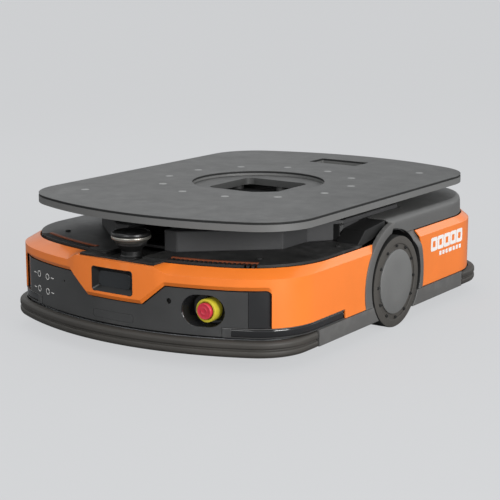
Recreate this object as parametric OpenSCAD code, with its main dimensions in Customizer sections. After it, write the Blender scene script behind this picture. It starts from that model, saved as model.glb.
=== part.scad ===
// Low lifting transport robot: two driven wheels, four swivel casters and a
// load deck that rises on two lead screws. Front is -Y, up is +Z, and the
// origin is on the floor, midway between the two drive wheels.

/* [Body] */
// Overall width across the sills, bumpers and hub caps
body_w = 650; // [640:1:680]
// Overall length across the two bumpers
body_l = 960; // [940:1:1000]
// Radius of the bowed front and rear ends
end_r = 600; // [560:5:700]
// Radius of the four plan corners of the body
corner_r = 118; // [105:1:125]
// Height of the crease where the upper facet starts
crease_z = 163; // [155:1:166]
// Height of the edge where the orange shell meets the covers
shell_top_z = 177; // [174:1:180]
// Wall thickness of the moulded shells and covers
wall = 3.5; // [2.5:0.5:4.5]

/* [Load deck] */
// Width of the deck plate
deck_w = 614; // [580:1:630]
// Length of the deck plate
deck_l = 860; // [820:1:900]
// Height of the deck's top face when it is lowered
deck_top_z = 258; // [256:1:270]
// Thickness of the deck plate
deck_t = 17; // [12:1:18]
// Radius of the round opening in the deck
deck_hole_r = 135; // [125:1:140]
// Pitch circle diameter of the deck's load sockets
deck_pcd = 392; // [380:1:396]
// Upward travel of the deck
lift_travel = 60; // [40:1:60]

/* [Drive] */
// Outside diameter of the drive wheels
wheel_d = 180; // [176:1:182]
// Tread width of a drive wheel
tyre_w = 58; // [50:1:58]
// Upward travel of a drive wheel against its springs
bump_travel = 8; // [4:1:8]

/* [Casters] */
// Diameter of a caster wheel
caster_d = 75; // [70:1:75]
// Distance of a caster's swivel axis from the centre plane
caster_x = 212; // [205:1:218]
// Distance of a caster's swivel axis from the drive axle
caster_y = 328; // [322:1:334]
// Trail of the caster wheel behind its swivel axis
caster_trail = 24; // [18:1:26]

/* [Hidden] */

$fn = 64;
play = 0.05;            // radial running clearance of a shaft in its bore
eps = 0.01;             // overrun that keeps a cut clear of a face
arc_steps = 9;          // points on a quarter of each rounded outline

// Plan outlines, as [half width, half length, end radius, corner radius]
bumper_plan = [body_w / 2, body_l / 2, end_r - 5, corner_r - 13];
shell_plan = [body_w / 2 - 2, body_l / 2 - 16, end_r, corner_r];
rim_plan = [body_w / 2 - 9, body_l / 2 - 43, end_r + 20, corner_r + 46];
rear_shell_plan = [body_w / 2 - 2, body_l / 2 - 16, end_r, corner_r + 32];
rear_rim_plan = [body_w / 2 - 9, body_l / 2 - 33, end_r + 10, corner_r + 46];
roof_plan = [body_w / 2 - 13, body_l / 2 - 37, end_r + 6, corner_r + 42];

sill_z = [26, 57];      // bottom and top of the sills
bumper_z = [25, 55];    // bottom and top of the bumpers
bumper_t = 14;          // depth of the bumper strip
bumper_end_y = 290;     // where the bumper ends along the side
bumper_travel = 3;      // press-in travel of a bumper
bumper_mid_z = 40;      // height of the bumper's groove
bumper_pin_x = 120;     // bumper guide pins, distance from the centre plane
bumper_pin_z = 43;      // height of the guide pins
lip_top_z = 75;         // top of the lip strip above the bumper
lip_end_y = 194;        // where the lip strip ends along the side
strip_z = 145;          // lower edge of the front trim strip
chevron_z = 104;        // lower edge of the chevron
chevron_low_x = 64;     // half width of the chevron at its lower edge
chevron_top_x = 108;    // half width of the chevron at the strip
fascia_x = 288;         // half width of the fascia
lip_x = 210;            // where the lip strip starts under the fascia
cover_z = 182;          // top of the front cover
rear_cover_z = 214;     // top of the rear cover
hump_z = 221;           // top of the hump on the front cover
hump_front_y = 369;     // front of the hump, ahead of the axle
hump_rear_y = 112;
notch_x = 42;           // half width of the lidar's notch and recess
notch_y = 338;          // depth of the notch in the hump
tongue_x = 87;          // half width of the cover's tongue behind the chevron
floor_z = [32, 38];     // base plate bottom and top

axle_z = wheel_d / 2;
tyre_x = [264, 264 + tyre_w];
rim_r = 74;             // outside radius of the rim
cap_r = 67;             // radius of the hub cap
hub_bolt_r = 70.5;      // circle of the hub cap's bolts
hub_bolts = 12;
arch_r = 96;            // radius of the wheel opening
arch_z = axle_z + 4;    // its centre, raised to clear the wheel's upward travel
trim_front_r = 121;     // outer radius of the arch trim, ahead of the wheel
trim_rear_r = 158;      // outer radius of the arch trim, behind the wheel
trim_rear_y = -46;      // centre of that radius, ahead of the axle
trim_top_z = 209;       // top of the front arch trim
trim_split_y = -14;     // where the front arch trim ends at the top
shaft_r = 12.5;         // drive shaft radius
carriage_x = [236, 250];
post_x = 243;           // drive guide posts, distance from the centre plane
post_y = 84;            // drive guide posts, distance from the axle
post_r = 8;
lug_z = [62, 118];      // carriage guide lugs, bottom and top
drive_post_top = lug_z[1] + 58 + bump_travel;

deck_bottom_z = deck_top_z - deck_t;
table_z = [deck_bottom_z - 6, deck_bottom_z];
table_r = 212;          // radius of the lift table's flange
table_step_z = deck_top_z - 9;
skirt_x = 129;          // half width of the lift skirt
skirt_y = 108;          // half depth of the lift skirt
skirt_bottom_z = 196;
well_x = 75;            // half width of the camera well's opening
well_top_z = 190;
screw_y = 90;           // lift screws, distance from the axle
screw_r = 8;
nut_r = 12.5;
lift_post_x = 112;
lift_post_y = 88;
lift_post_top = 230;
screw_z = [97, 230];
socket_n = 12;
socket_r = 4.5;         // bore of the deck's load sockets
insert_r = 7.5;         // outside radius of the sleeves in the sockets
slot_y = 320;           // centre of the deck's rectangular slot
slot_size = [120, 60];

lidar_y = -412;
lidar_z = 172;          // floor of the lidar recess
estop_x = 180;
estop_y = -437;         // front of the emergency stop's button
estop_head = 9.5;       // thickness of its head
estop_r = 15;           // radius of its head
estop_z = 102;
estop_travel = 4;
pocket_x = [-13, 6];    // round ends of the emergency stop's pocket, either side of its axis
pocket_r = 30;
button_travel = 1.5;
button_r = 7;
button_x = [-188, -219];
button_z = [87, 115.5];

// ---------- outlines and solids shared by the sub-parts ----------

function inset(p, t) = [p[0] - t, p[1] - t, p[2] - t, p[3] - t];

// Angle of the tangent point between the end arc and the corner arc
function blend_a(p) = acos((p[0] - p[3]) / (p[2] - p[3]));

// Rear right quarter of an outline, from the side to the centre plane
function quarter(p) = concat(
    [for (i = [0:arc_steps]) let (a = blend_a(p) * i / arc_steps)
        [p[0] - p[3] + p[3] * cos(a),
         p[1] - p[2] + (p[2] - p[3]) * sin(blend_a(p)) + p[3] * sin(a)]],
    [for (i = [1:arc_steps]) let (a = blend_a(p) + (90 - blend_a(p)) * i / arc_steps)
        [p[2] * cos(a), p[1] - p[2] + p[2] * sin(a)]]);

function mirrored(q, sx, sy) = [for (i = [0:len(q) - 1]) [sx * q[i][0], sy * q[i][1]]];
function reversed(q) = [for (i = [len(q) - 1:-1:0]) q[i]];
function trimmed(q) = [for (i = [1:len(q) - 1]) q[i]];

function outline(p) = let (q = quarter(p)) concat(
    q,
    trimmed(reversed(mirrored(q, -1, 1))),
    mirrored(q, -1, -1),
    trimmed(reversed(mirrored(q, 1, -1))));

module slab(p, z0, z1) {
    translate([0, 0, z0])
        linear_extrude(z1 - z0)
            polygon(outline(p));
}

// Sloped solid between two outlines
module slope(p0, z0, p1, z1) {
    hull() {
        translate([0, 0, z0])
            linear_extrude(eps)
                polygon(outline(p0));
        translate([0, 0, z1 - eps])
            linear_extrude(eps)
                polygon(outline(p1));
    }
}

// Box from its lowest corner to its highest
module block(low, high) {
    translate(low)
        cube(high - low);
}

module both_sides() {
    children();
    mirror([1, 0, 0])
        children();
}

module x_cylinder(r, x0, x1, y = 0, z = 0) {
    translate([x0, y, z])
        rotate([0, 90, 0])
            cylinder(r = r, h = x1 - x0);
}

module y_cylinder(r, y0, y1, x = 0, z = 0) {
    translate([x, y0, z])
        rotate([-90, 0, 0])
            cylinder(r = r, h = y1 - y0);
}

module z_cylinder(r, z0, z1, x = 0, y = 0) {
    translate([x, y, z0])
        cylinder(r = r, h = z1 - z0);
}

// Body shell from the sill to the rim, without its front and rear openings
module shell_ring(plan, rim) {
    difference() {
        union() {
            slab(plan, sill_z[1] + 1, crease_z);
            slope(plan, crease_z, rim, shell_top_z);
        }
        slab(inset(plan, wall), sill_z[1], crease_z - 1);
        slope(inset(plan, wall), crease_z - 1 - eps, inset(rim, wall + 2), shell_top_z + eps);
    }
}

module arch_cut(r, y = 0, z = axle_z) {
    both_sides()
        x_cylinder(r, body_w / 2 - 45, body_w / 2 + 5, y, z);
}

// Front view of the fascia: a band that dips under the chevron
module fascia_front(grow = 0) {
    polygon([
        [-fascia_x - grow, sill_z[0]], [-fascia_x - grow, strip_z + grow - 2],
        [-chevron_top_x + grow, strip_z + grow], [-chevron_low_x + grow, chevron_z + grow],
        [chevron_low_x - grow, chevron_z + grow], [chevron_top_x - grow, strip_z + grow],
        [fascia_x + grow, strip_z + grow - 2], [fascia_x + grow, sill_z[0]]]);
}

module fascia_prism(grow = 0) {
    translate([0, -body_l / 2 + 150, 0])
        rotate([90, 0, 0])
            linear_extrude(200)
                fascia_front(grow);
}

// ---------- chassis ----------

module caster_places() {
    for (sx = [-1, 1])
        for (sy = [-1, 1])
            translate([sx * caster_x, sy * caster_y, 0])
                children();
}

module base_frame() {
    cup_r = caster_trail + caster_d / 2 + 6;
    cup_t = 4;
    cup_top = 104;
    color("dimgray")
    difference() {
        union() {
            slab(inset(bumper_plan, 38), floor_z[0], floor_z[1]);
            caster_places()
                z_cylinder(cup_r + cup_t, floor_z[1] - eps, cup_top);
            both_sides()
                block([150, -400, floor_z[1] - eps], [158, 400, 62]);
            for (sy = [-1, 1])
                block([-158, sy * 124 - 4, floor_z[1] - eps], [158, sy * 124 + 4, 62]);
        }
        caster_places()
            z_cylinder(cup_r, floor_z[0] - 1, cup_top - 6);
        both_sides()
            block([170, -100, floor_z[0] - 1], [body_w / 2, 100, 63]);
        both_sides()
            block([90, -52, floor_z[0] - 1], [175, 52, 63]);
        block([-40, -40, floor_z[0] - 1], [40, 40, floor_z[1] + 1]);
    }
}

module caster_mounts() {
    color("silver")
    caster_places()
        difference() {
            union() {
                block([-32, -32, 92], [32, 32, 98]);
                z_cylinder(22, 84, 92 + eps);
            }
            z_cylinder(8 + play, 83, 99);
        }
}

module wheel_housings() {
    roof_z = 214;
    color([0.12, 0.12, 0.12])
    both_sides()
        difference() {
            union() {
                block([185, -116, 120], [262, 116, roof_z]);
                translate([262 - eps, 0, 0])
                    rotate([90, 0, 90])
                        linear_extrude(47)
                            polygon([[-126, 183], [-100, 205], [-24, 213], [-24, 192], [-126, 176]]);
            }
            block([188, -113, 119], [262 + eps, 113, roof_z - 3]);
            block([180, -60, 100], [190, 60, 152]);
            x_cylinder(arch_r + 1, 262, 320, 0, arch_z);
        }
}

module lift_opening(z0, z1, gap) {
    block([-skirt_x - gap, -skirt_y - gap, z0], [skirt_x + gap, skirt_y + gap, z1]);
}

// Right half of the hump's outline, drawn t inside its faces
function hump_half(t) = [
    [notch_x + t, -notch_y + t], [notch_x + t, -hump_front_y + t], [71 - t / 2, -hump_front_y + t],
    [216 - t, -239 - t / 2], [216 - t, -156 + t / 2], [262 - t, -100 + t / 2],
    [262 - t, hump_rear_y - t]];

function hump_outline(t) = concat(hump_half(t), reversed(mirrored(hump_half(t), -1, 1)));

// Cooling slots along the bowed edge, on each side of the lidar
module vents() {
    vent_n = 15;
    vent_step = 1.05;
    vent_r = rim_plan[2] - 9;
    for (sx = [-1, 1])
        for (i = [0:vent_n - 1])
            translate([0, rim_plan[2] - rim_plan[1], 150])
                rotate([0, 0, sx * (8.6 + i * vent_step)])
                    translate([-4, -vent_r, 0])
                        cube([8, 6, 60]);
}

module front_cover() {
    tongue_z = 179;
    tray_y = [-458, -hump_front_y + 1];
    color([0.1, 0.1, 0.1])
    difference() {
        union() {
            intersection() {
                slab(inset(rim_plan, 3), shell_top_z, cover_z);
                block([-body_w / 2, -body_l / 2, 0], [body_w / 2, hump_rear_y, 300]);
            }
            intersection() {
                slab(inset(shell_plan, wall + 0.6), shell_top_z - 2, tongue_z);
                block([-tongue_x, -body_l / 2, 0], [tongue_x, -400, 300]);
            }
            translate([0, 0, shell_top_z])
                linear_extrude(hump_z - shell_top_z)
                    polygon(hump_outline(0));
            block([-notch_x - 3, tray_y[0] - 0.5, lidar_z - 4], [notch_x + 3, tray_y[1] + 3, shell_top_z]);
        }
        translate([0, 0, shell_top_z - 3])
            linear_extrude(hump_z - shell_top_z)
                polygon(hump_outline(3));
        lift_opening(150, 240, 4);
        both_sides()
            block([261.5, -127, 150], [body_w / 2, 120, 220]);
        both_sides()
            block([184.5, -116.5, 150], [263, 116.5, 214.5]);
        // recess for the lidar
        block([-notch_x, tray_y[0] + 2, lidar_z], [notch_x, -notch_y, 240]);
        vents();
        cover_screw_places()
            z_cylinder(3, 150, 220);
    }
}

module cover_screw_places() {
    for (sx = [-1, 1]) {
        translate([sx * 225, -330, 0])
            children();
        translate([sx * 285, -160, 0])
            children();
    }
}

module cover_screws() {
    color("black")
    cover_screw_places()
        difference() {
            union() {
                z_cylinder(2.9, cover_z - 6, cover_z + eps);
                z_cylinder(5, cover_z, cover_z + 2.4);
            }
            translate([0, 0, cover_z + 1])
                cylinder(r = 1.8, h = 5, $fn = 6);
        }
}

module rear_cover() {
    edge = 10;
    color([0.38, 0.38, 0.38])
    difference() {
        union() {
            slope(inset(rear_rim_plan, 3), shell_top_z, roof_plan, rear_cover_z - edge);
            slope(roof_plan, rear_cover_z - edge - eps, inset(roof_plan, edge), rear_cover_z);
        }
        slope(inset(rear_rim_plan, 3 + wall), shell_top_z - 3,
              inset(roof_plan, wall + edge), rear_cover_z - wall);
        block([-266, -body_l, 150], [266, 120, 250]);
        block([-body_w, -body_l, 150], [body_w, trim_split_y + 2, 250]);
        arch_cut(arch_r + 1, 0, arch_z);
    }
}

module front_shell() {
    color([0.95, 0.42, 0.08])
    difference() {
        intersection() {
            shell_ring(shell_plan, rim_plan);
            block([-body_w, -body_l, 0], [body_w, -20, 300]);
        }
        fascia_prism(0.6);
        arch_cut(trim_front_r + 0.6);
        // lip strip runs under the shell from the fascia to the notch
        block([-body_w, -body_l, 50], [body_w, -lip_end_y, lip_top_z + 0.6]);
        // opening behind the camera window
        block([-48, -body_l, 114], [48, -body_l / 2 + 60, 165]);
        // room for the cover's tongue
        block([-tongue_x - 0.6, -460.4, 165], [tongue_x + 0.6, -400, 200]);
    }
    // upper part of the chevron, ahead of the tongue
    color([0.95, 0.42, 0.08])
    difference() {
        slab(shell_plan, crease_z, shell_top_z + 2);
        slab(inset(shell_plan, wall), crease_z - 1, shell_top_z + 3);
        block([-body_w, -400, 100], [body_w, body_l, 200]);
        both_sides()
            block([tongue_x + 8, -body_l, 100], [body_w, body_l, 200]);
        block([-48, -body_l, 114], [48, -body_l / 2 + 60, 165]);
    }
}

module rear_shell() {
    color([0.95, 0.42, 0.08])
    difference() {
        intersection() {
            shell_ring(rear_shell_plan, rear_rim_plan);
            block([-body_w, 20, 0], [body_w, body_l, 300]);
        }
        arch_cut(trim_rear_r + 0.6, trim_rear_y);
        // opening for the charging contacts
        block([-62, body_l / 2 - 60, 76], [62, body_l, 118]);
    }
}

module front_fascia() {
    color([0.24, 0.24, 0.24])
    difference() {
        intersection() {
            difference() {
                slab(inset(shell_plan, 1), sill_z[1] + 0.5, strip_z);
                slab(inset(shell_plan, 1 + wall), sill_z[1] - 1, strip_z + 1);
            }
            fascia_prism(0);
            block([-body_w, -body_l, 0], [body_w, -300, 300]);
        }
        both_sides()
            block([lip_x, -body_l, 0], [body_w, 0, lip_top_z + 0.6]);
        estop_pocket(pocket_r);
        for (x = button_x)
            for (z = button_z)
                y_cylinder(button_r + play, -body_l, -380, x, z);
        y_cylinder(5, -body_l, -380, 114.5, 115);
    }
}

module estop_pocket(r) {
    for (x = pocket_x)
        y_cylinder(r, -body_l / 2, -380, estop_x + x, estop_z);
    block([estop_x + pocket_x[0], -body_l / 2, estop_z - r],
          [estop_x + pocket_x[1], -380, estop_z + r]);
}

module estop_cup() {
    back_y = -409;
    color([0.08, 0.08, 0.08])
    difference() {
        intersection() {
            estop_pocket(pocket_r - 0.2);
            slab(inset(shell_plan, 2), 60, 150);
            block([0, -body_l, 0], [400, back_y + 3, 200]);
        }
        intersection() {
            estop_pocket(pocket_r - 2.5);
            block([0, -body_l, 0], [400, back_y, 200]);
        }
        y_cylinder(9, -450, -380, estop_x, estop_z);
    }
}

module estop_collar() {
    color([0.85, 0.75, 0.1])
    difference() {
        y_cylinder(21, estop_y + 6, -409, estop_x, estop_z);
        y_cylinder(estop_r + 1, estop_y, estop_y + estop_head + estop_travel + 0.5, estop_x, estop_z);
        y_cylinder(8.5 + play, -430, -400, estop_x, estop_z);
    }
}

module estop_button() {
    color([0.85, 0.1, 0.15]) {
        y_cylinder(estop_r, estop_y, estop_y + estop_head, estop_x, estop_z);
        y_cylinder(8.5, estop_y + estop_head - 0.5, -410, estop_x, estop_z);
    }
}

// Face of the fascia at a given distance from the centre plane
function fascia_y(x) =
    let (p = inset(shell_plan, 1)) -(p[1] - p[2] + sqrt(p[2] * p[2] - x * x));

module panel_button(x, z) {
    face_y = fascia_y(x + button_r);
    color([0.2, 0.2, 0.2]) {
        y_cylinder(button_r, face_y - button_travel - 0.5, face_y + 15, x, z);
        y_cylinder(button_r + 3, face_y + 12, face_y + 15, x, z);
    }
}

module start_button() {
    panel_button(button_x[0], button_z[1]);
}

module stop_button() {
    panel_button(button_x[0], button_z[0]);
}

module reset_button() {
    panel_button(button_x[1], button_z[1]);
}

module mode_button() {
    panel_button(button_x[1], button_z[0]);
}

module side_sills() {
    color([0.42, 0.42, 0.42])
    difference() {
        both_sides()
            block([body_w / 2 - 9, 4 - bumper_end_y, sill_z[0]],
                  [body_w / 2, bumper_end_y - 4, sill_z[1]]);
        arch_cut(arch_r, 0, arch_z);
    }
}

// Crescent beside the wheel opening, inside an outer radius
module crescent(r, y) {
    intersection() {
        difference() {
            x_cylinder(r, body_w / 2 - 8, body_w / 2, y, axle_z);
            x_cylinder(arch_r, body_w / 2 - 9, body_w / 2 + 1, 0, arch_z);
        }
        children();
    }
}

module arch_trims() {
    color([0.42, 0.42, 0.42])
    both_sides() {
        crescent(trim_front_r, 0)
            block([0, -200, sill_z[1] + 0.5], [body_w, trim_split_y, trim_top_z]);
        crescent(trim_rear_r, trim_rear_y)
            block([0, 40, sill_z[1] + 0.5], [body_w, 200, shell_top_z - 3]);
    }
}

module front_lips() {
    color([0.2, 0.2, 0.2])
    difference() {
        slab(inset(shell_plan, 0.5), sill_z[1] + 0.5, lip_top_z);
        slab(inset(shell_plan, 6), sill_z[1], lip_top_z + 1);
        block([-body_w, -lip_end_y - 0.6, 0], [body_w, body_l, 200]);
        block([-lip_x - 0.6, -body_l, 0], [lip_x + 0.6, 0, 200]);
    }
}

// Strip along one bowed end, between two insets of the bumper's outline
module end_strip(t0, t1, z0, z1, end_y) {
    difference() {
        slab(inset(bumper_plan, t0), z0, z1);
        slab(inset(bumper_plan, t1), z0 - 1, z1 + 1);
        block([-body_w, -end_y, 0], [body_w, body_l, 100]);
    }
}

module bumper() {
    rib = 2;
    difference() {
        end_strip(0, bumper_t, bumper_z[0], bumper_z[1], bumper_end_y);
        difference() {
            slab(inset(bumper_plan, -1), bumper_mid_z - rib / 2, bumper_mid_z + rib / 2);
            slab(inset(bumper_plan, rib), bumper_mid_z - rib, bumper_mid_z + rib);
        }
    }
    for (x = [-bumper_pin_x, bumper_pin_x])
        y_cylinder(4, -458, -424, x, bumper_pin_z);
}

module front_bumper() {
    color([0.25, 0.24, 0.22])
    bumper();
}

module rear_bumper() {
    color([0.25, 0.24, 0.22])
    rotate([0, 0, 180])
        bumper();
}

module beam() {
    gap = bumper_travel + 3;
    difference() {
        end_strip(bumper_t + gap, bumper_t + gap + 6, 33, 54, bumper_end_y + 10);
        for (x = [-bumper_pin_x, bumper_pin_x])
            y_cylinder(4 + play, -470, -420, x, bumper_pin_z);
    }
    // brackets that rest on the base plate
    for (x = [-60, 60])
        block([x - 20, -454, floor_z[1]], [x + 20, -425, floor_z[1] + 6]);
}

module bumper_beams() {
    color("silver")
    for (a = [0, 180])
        rotate([0, 0, a])
            beam();
}

// ---------- sensors ----------

module lidar_base() {
    color([0.1, 0.1, 0.1])
    translate([0, lidar_y, lidar_z])
        rotate_extrude()
            polygon([[0, 0], [24, 0], [24, 3], [17, 6], [17, 12], [29, 25], [29, 27], [0, 27]]);
}

module lidar_window() {
    color([0.15, 0.15, 0.17])
    translate([0, lidar_y, lidar_z])
        rotate_extrude()
            polygon([[33, 27.2], [36, 30], [36.5, 37], [36.5, 46], [34, 50], [0, 50],
                     [0, 47], [31, 47], [33, 44], [33, 31], [30, 27.2]]);
}

module lidar_rotor() {
    color([0.3, 0.3, 0.32])
    translate([0, lidar_y, lidar_z])
        difference() {
            z_cylinder(26, 29, 45);
            block([-20, -30, 32], [-4, -15, 42]);
            block([4, -30, 32], [20, -15, 42]);
        }
}

module camera_window() {
    color([0.12, 0.12, 0.14]) {
        difference() {
            intersection() {
                block([-47.5, -body_l, 114.5], [47.5, -420, 164.5]);
                slab(inset(shell_plan, 0.5), 100, 170);
            }
            slab(inset(shell_plan, 30), 90, 180);
        }
    }
}

module camera_well() {
    lip = 3;
    color([0.1, 0.1, 0.1])
    difference() {
        block([-well_x - lip, -well_x + 2, floor_z[1]], [well_x + lip, well_x - 2, well_top_z]);
        block([-well_x, -well_x + 5, floor_z[1] + 3], [well_x, well_x - 5, well_top_z + 1]);
    }
}

module deck_camera() {
    color([0.15, 0.15, 0.15])
    difference() {
        union() {
            block([-30, -30, floor_z[1] + 3.2], [30, 30, 70]);
            z_cylinder(17, 70 - eps, 96);
        }
        z_cylinder(13, 88, 97);
    }
}

module charge_contacts() {
    color([0.75, 0.6, 0.3])
    difference() {
        intersection() {
            union() {
                block([-60, 440, 78], [-4, body_l, 116]);
                block([4, 440, 78], [60, body_l, 116]);
            }
            slab(inset(shell_plan, 1), 60, 130);
        }
        slab(inset(shell_plan, 14), 50, 140);
    }
}

module battery_pack() {
    color([0.25, 0.28, 0.32])
    block([-134, 134, floor_z[1] + 0.5], [134, 405, 150]);
}

module control_box() {
    color([0.55, 0.56, 0.58])
    difference() {
        block([-130, -385, floor_z[1] + 0.5], [130, -134, 140]);
        for (i = [0:8])
            block([-110 + i * 26, -360, 130], [-98 + i * 26, -160, 141]);
    }
}

// ---------- lift ----------

module lift_motors() {
    color([0.35, 0.35, 0.36])
    for (sy = [-1, 1])
        difference() {
            block([-26, sy * 96 - 20, floor_z[1] + 0.5], [26, sy * 96 + 20, 92]);
            z_cylinder(6 + play, 60, 93, 0, sy * screw_y);
        }
}

module lift_screw(sy) {
    color([0.7, 0.7, 0.72])
    translate([0, sy * screw_y, 0]) {
        z_cylinder(6, 62, screw_z[0] + eps);
        z_cylinder(screw_r, screw_z[0], screw_z[1]);
        z_cylinder(11, screw_z[0], screw_z[0] + 6);
    }
}

module front_lift_screw() {
    lift_screw(-1);
}

module rear_lift_screw() {
    lift_screw(1);
}

module lift_post_places() {
    for (sx = [-1, 1])
        for (sy = [-1, 1])
            translate([sx * lift_post_x, sy * lift_post_y, 0])
                children();
}

module lift_posts() {
    color([0.75, 0.75, 0.77])
    lift_post_places() {
        z_cylinder(post_r, floor_z[1], lift_post_top);
        z_cylinder(14, floor_z[1], floor_z[1] + 12);
    }
}

module lift_table() {
    sleeve_z = lift_post_top - lift_travel - 20;
    nut_z = screw_z[1] - lift_travel - 50;
    color([0.42, 0.42, 0.42])
    difference() {
        union() {
            z_cylinder(table_r, table_z[0], table_z[1]);
            z_cylinder(deck_hole_r - 0.5, table_z[1] - eps, table_step_z);
            lift_post_places()
                z_cylinder(13, sleeve_z, table_z[1]);
            for (sy = [-1, 1])
                z_cylinder(nut_r, nut_z, table_z[1], 0, sy * screw_y);
        }
        block([-well_x, -well_x, 200], [well_x, well_x, table_step_z + 1]);
        lift_post_places()
            z_cylinder(post_r + play, 100, table_step_z + 1);
        for (sy = [-1, 1])
            z_cylinder(screw_r + play, 100, table_step_z + 1, 0, sy * screw_y);
        deck_socket_places()
            z_cylinder(insert_r + play, 200, 250);
    }
}

module lift_skirt() {
    skirt_t = 2.5;
    color([0.25, 0.25, 0.25])
    difference() {
        block([-skirt_x, -skirt_y, skirt_bottom_z], [skirt_x, skirt_y, table_z[0] - 0.2]);
        block([skirt_t - skirt_x, skirt_t - skirt_y, 190], [skirt_x - skirt_t, skirt_y - skirt_t, 240]);
    }
}

module deck_socket_places() {
    for (i = [0:socket_n - 1])
        rotate([0, 0, 15 + i * 360 / socket_n])
            translate([deck_pcd / 2, 0, 0])
                children();
}

module deck_plate() {
    edge = 3;
    plan = [deck_w / 2, deck_l / 2, end_r + 20, corner_r - 2];
    color([0.43, 0.43, 0.42])
    difference() {
        union() {
            slab(plan, deck_bottom_z, deck_top_z - edge);
            slope(plan, deck_top_z - edge - eps, inset(plan, edge), deck_top_z);
        }
        z_cylinder(deck_hole_r, deck_bottom_z - 1, deck_top_z + 1);
        block([-slot_size[0] / 2, slot_y - slot_size[1] / 2, deck_bottom_z - 1],
              [slot_size[0] / 2, slot_y + slot_size[1] / 2, deck_top_z + 1]);
        deck_socket_places()
            z_cylinder(insert_r + play, deck_bottom_z - 1, deck_top_z + 1);
    }
}

// Sleeves that locate the deck plate on the lift table and take load fixings
module deck_inserts() {
    color([0.6, 0.6, 0.6])
    deck_socket_places()
        difference() {
            z_cylinder(insert_r, table_z[0] + 0.5, deck_top_z - 0.3);
            z_cylinder(socket_r, table_z[0], deck_top_z);
        }
}

// ---------- drive units, drawn for the right-hand side ----------

module carriage() {
    color([0.6, 0.6, 0.62])
    difference() {
        union() {
            block([carriage_x[0], -70, 44], [carriage_x[1], 70, 138]);
            for (sy = [-1, 1]) {
                z_cylinder(14, lug_z[0], lug_z[1], post_x, sy * post_y);
                block([carriage_x[0], sy * 75 - 8, lug_z[0]], [carriage_x[1], sy * 75 + 8, lug_z[1]]);
            }
        }
        x_cylinder(30, 230, 260, 0, axle_z);
        for (sy = [-1, 1])
            z_cylinder(post_r + play, 50, 140, post_x, sy * post_y);
    }
}

module drive_motor() {
    color([0.2, 0.2, 0.22])
    difference() {
        union() {
            x_cylinder(36, 102, 200, 0, axle_z);
            x_cylinder(42, 200, carriage_x[0] - 0.5, 0, axle_z);
            x_cylinder(29.5, 220, 256, 0, axle_z);
        }
        x_cylinder(shaft_r + play, 205, 257, 0, axle_z);
    }
}

module rim() {
    color([0.32, 0.31, 0.29])
    difference() {
        union() {
            x_cylinder(rim_r, tyre_x[0], tyre_x[1] - 1, 0, axle_z);
            x_cylinder(shaft_r, 206, tyre_x[0] + eps, 0, axle_z);
        }
        difference() {
            x_cylinder(rim_r - 8, tyre_x[0] - 1, tyre_x[0] + 30, 0, axle_z);
            x_cylinder(24, tyre_x[0] - 2, tyre_x[0] + 31, 0, axle_z);
        }
    }
}

module tyre() {
    edge = 3;
    color([0.22, 0.21, 0.19])
    translate([tyre_x[0], 0, axle_z])
        rotate([0, 90, 0])
            rotate_extrude($fn = 96)
                polygon([[rim_r, 0], [wheel_d / 2 - edge, 0], [wheel_d / 2, edge],
                         [wheel_d / 2, tyre_w - edge], [wheel_d / 2 - edge, tyre_w], [rim_r, tyre_w]]);
}

module hub_cap() {
    color([0.42, 0.42, 0.41])
    x_cylinder(cap_r, tyre_x[1] - 1 + eps, body_w / 2, 0, axle_z);
    color("black")
    for (i = [0:hub_bolts - 1])
        translate([tyre_x[1] - 1 + eps, 0, axle_z])
            rotate([i * 360 / hub_bolts, 0, 0])
                translate([0, hub_bolt_r, 0])
                    rotate([0, 90, 0])
                        cylinder(r = 2.4, h = 2.2);
}

// Two stacks of disc springs that press the carriage down
module springs() {
    folds = 8;
    leaf = 0.8;
    radii = [9.9, 12.6];
    spring_z = [lug_z[1] + 0.5, drive_post_top - 5.5];
    pitch = (spring_z[1] - spring_z[0]) / (2 * folds);
    line = [for (i = [0:2 * folds]) [radii[i % 2], i * pitch]];
    color("silver")
    for (sy = [-1, 1])
        translate([post_x, sy * post_y, spring_z[0]])
            rotate_extrude()
                polygon(concat(
                    [for (p = line) [p[0] + leaf, p[1]]],
                    [for (p = reversed(line)) [p[0] - leaf, p[1]]]));
}

module drive_posts() {
    color([0.75, 0.75, 0.77])
    both_sides()
        for (sy = [-1, 1]) {
            z_cylinder(post_r, floor_z[0], drive_post_top, post_x, sy * post_y);
            z_cylinder(14, drive_post_top - 5, drive_post_top, post_x, sy * post_y);
            block([170, sy * 88 - 12, floor_z[0]], [post_x + 9, sy * 88 + 12, floor_z[1]]);
        }
}

module to_left() {
    mirror([1, 0, 0])
        children();
}

module left_carriage() {
    to_left()
        carriage();
}

module left_motor() {
    to_left()
        drive_motor();
}

module left_rim() {
    to_left()
        rim();
}

module left_tyre() {
    to_left()
        tyre();
}

module left_hub_cap() {
    to_left()
        hub_cap();
}

module left_springs() {
    to_left()
        springs();
}

// ---------- casters ----------

module caster_fork(sx, sy) {
    half = 18;
    leg_t = 4;
    color([0.6, 0.6, 0.62])
    translate([sx * caster_x, sy * caster_y, 0]) {
        z_cylinder(8, 81, 97);
        z_cylinder(26, 78, 82);
        x_cylinder(5, -half - leg_t - 2, half + leg_t + 2, caster_trail, caster_d / 2);
        for (s = [-1, 1])
            translate([s * (half + leg_t / 2) - leg_t / 2, 0, 0])
                rotate([90, 0, 90])
                    linear_extrude(leg_t)
                        polygon([[-14, 82], [14, 82], [caster_trail + 10, caster_d / 2 + 2],
                                 [caster_trail + 7, caster_d / 2 - 9],
                                 [caster_trail - 7, caster_d / 2 - 9], [-14, 74]]);
    }
}

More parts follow.
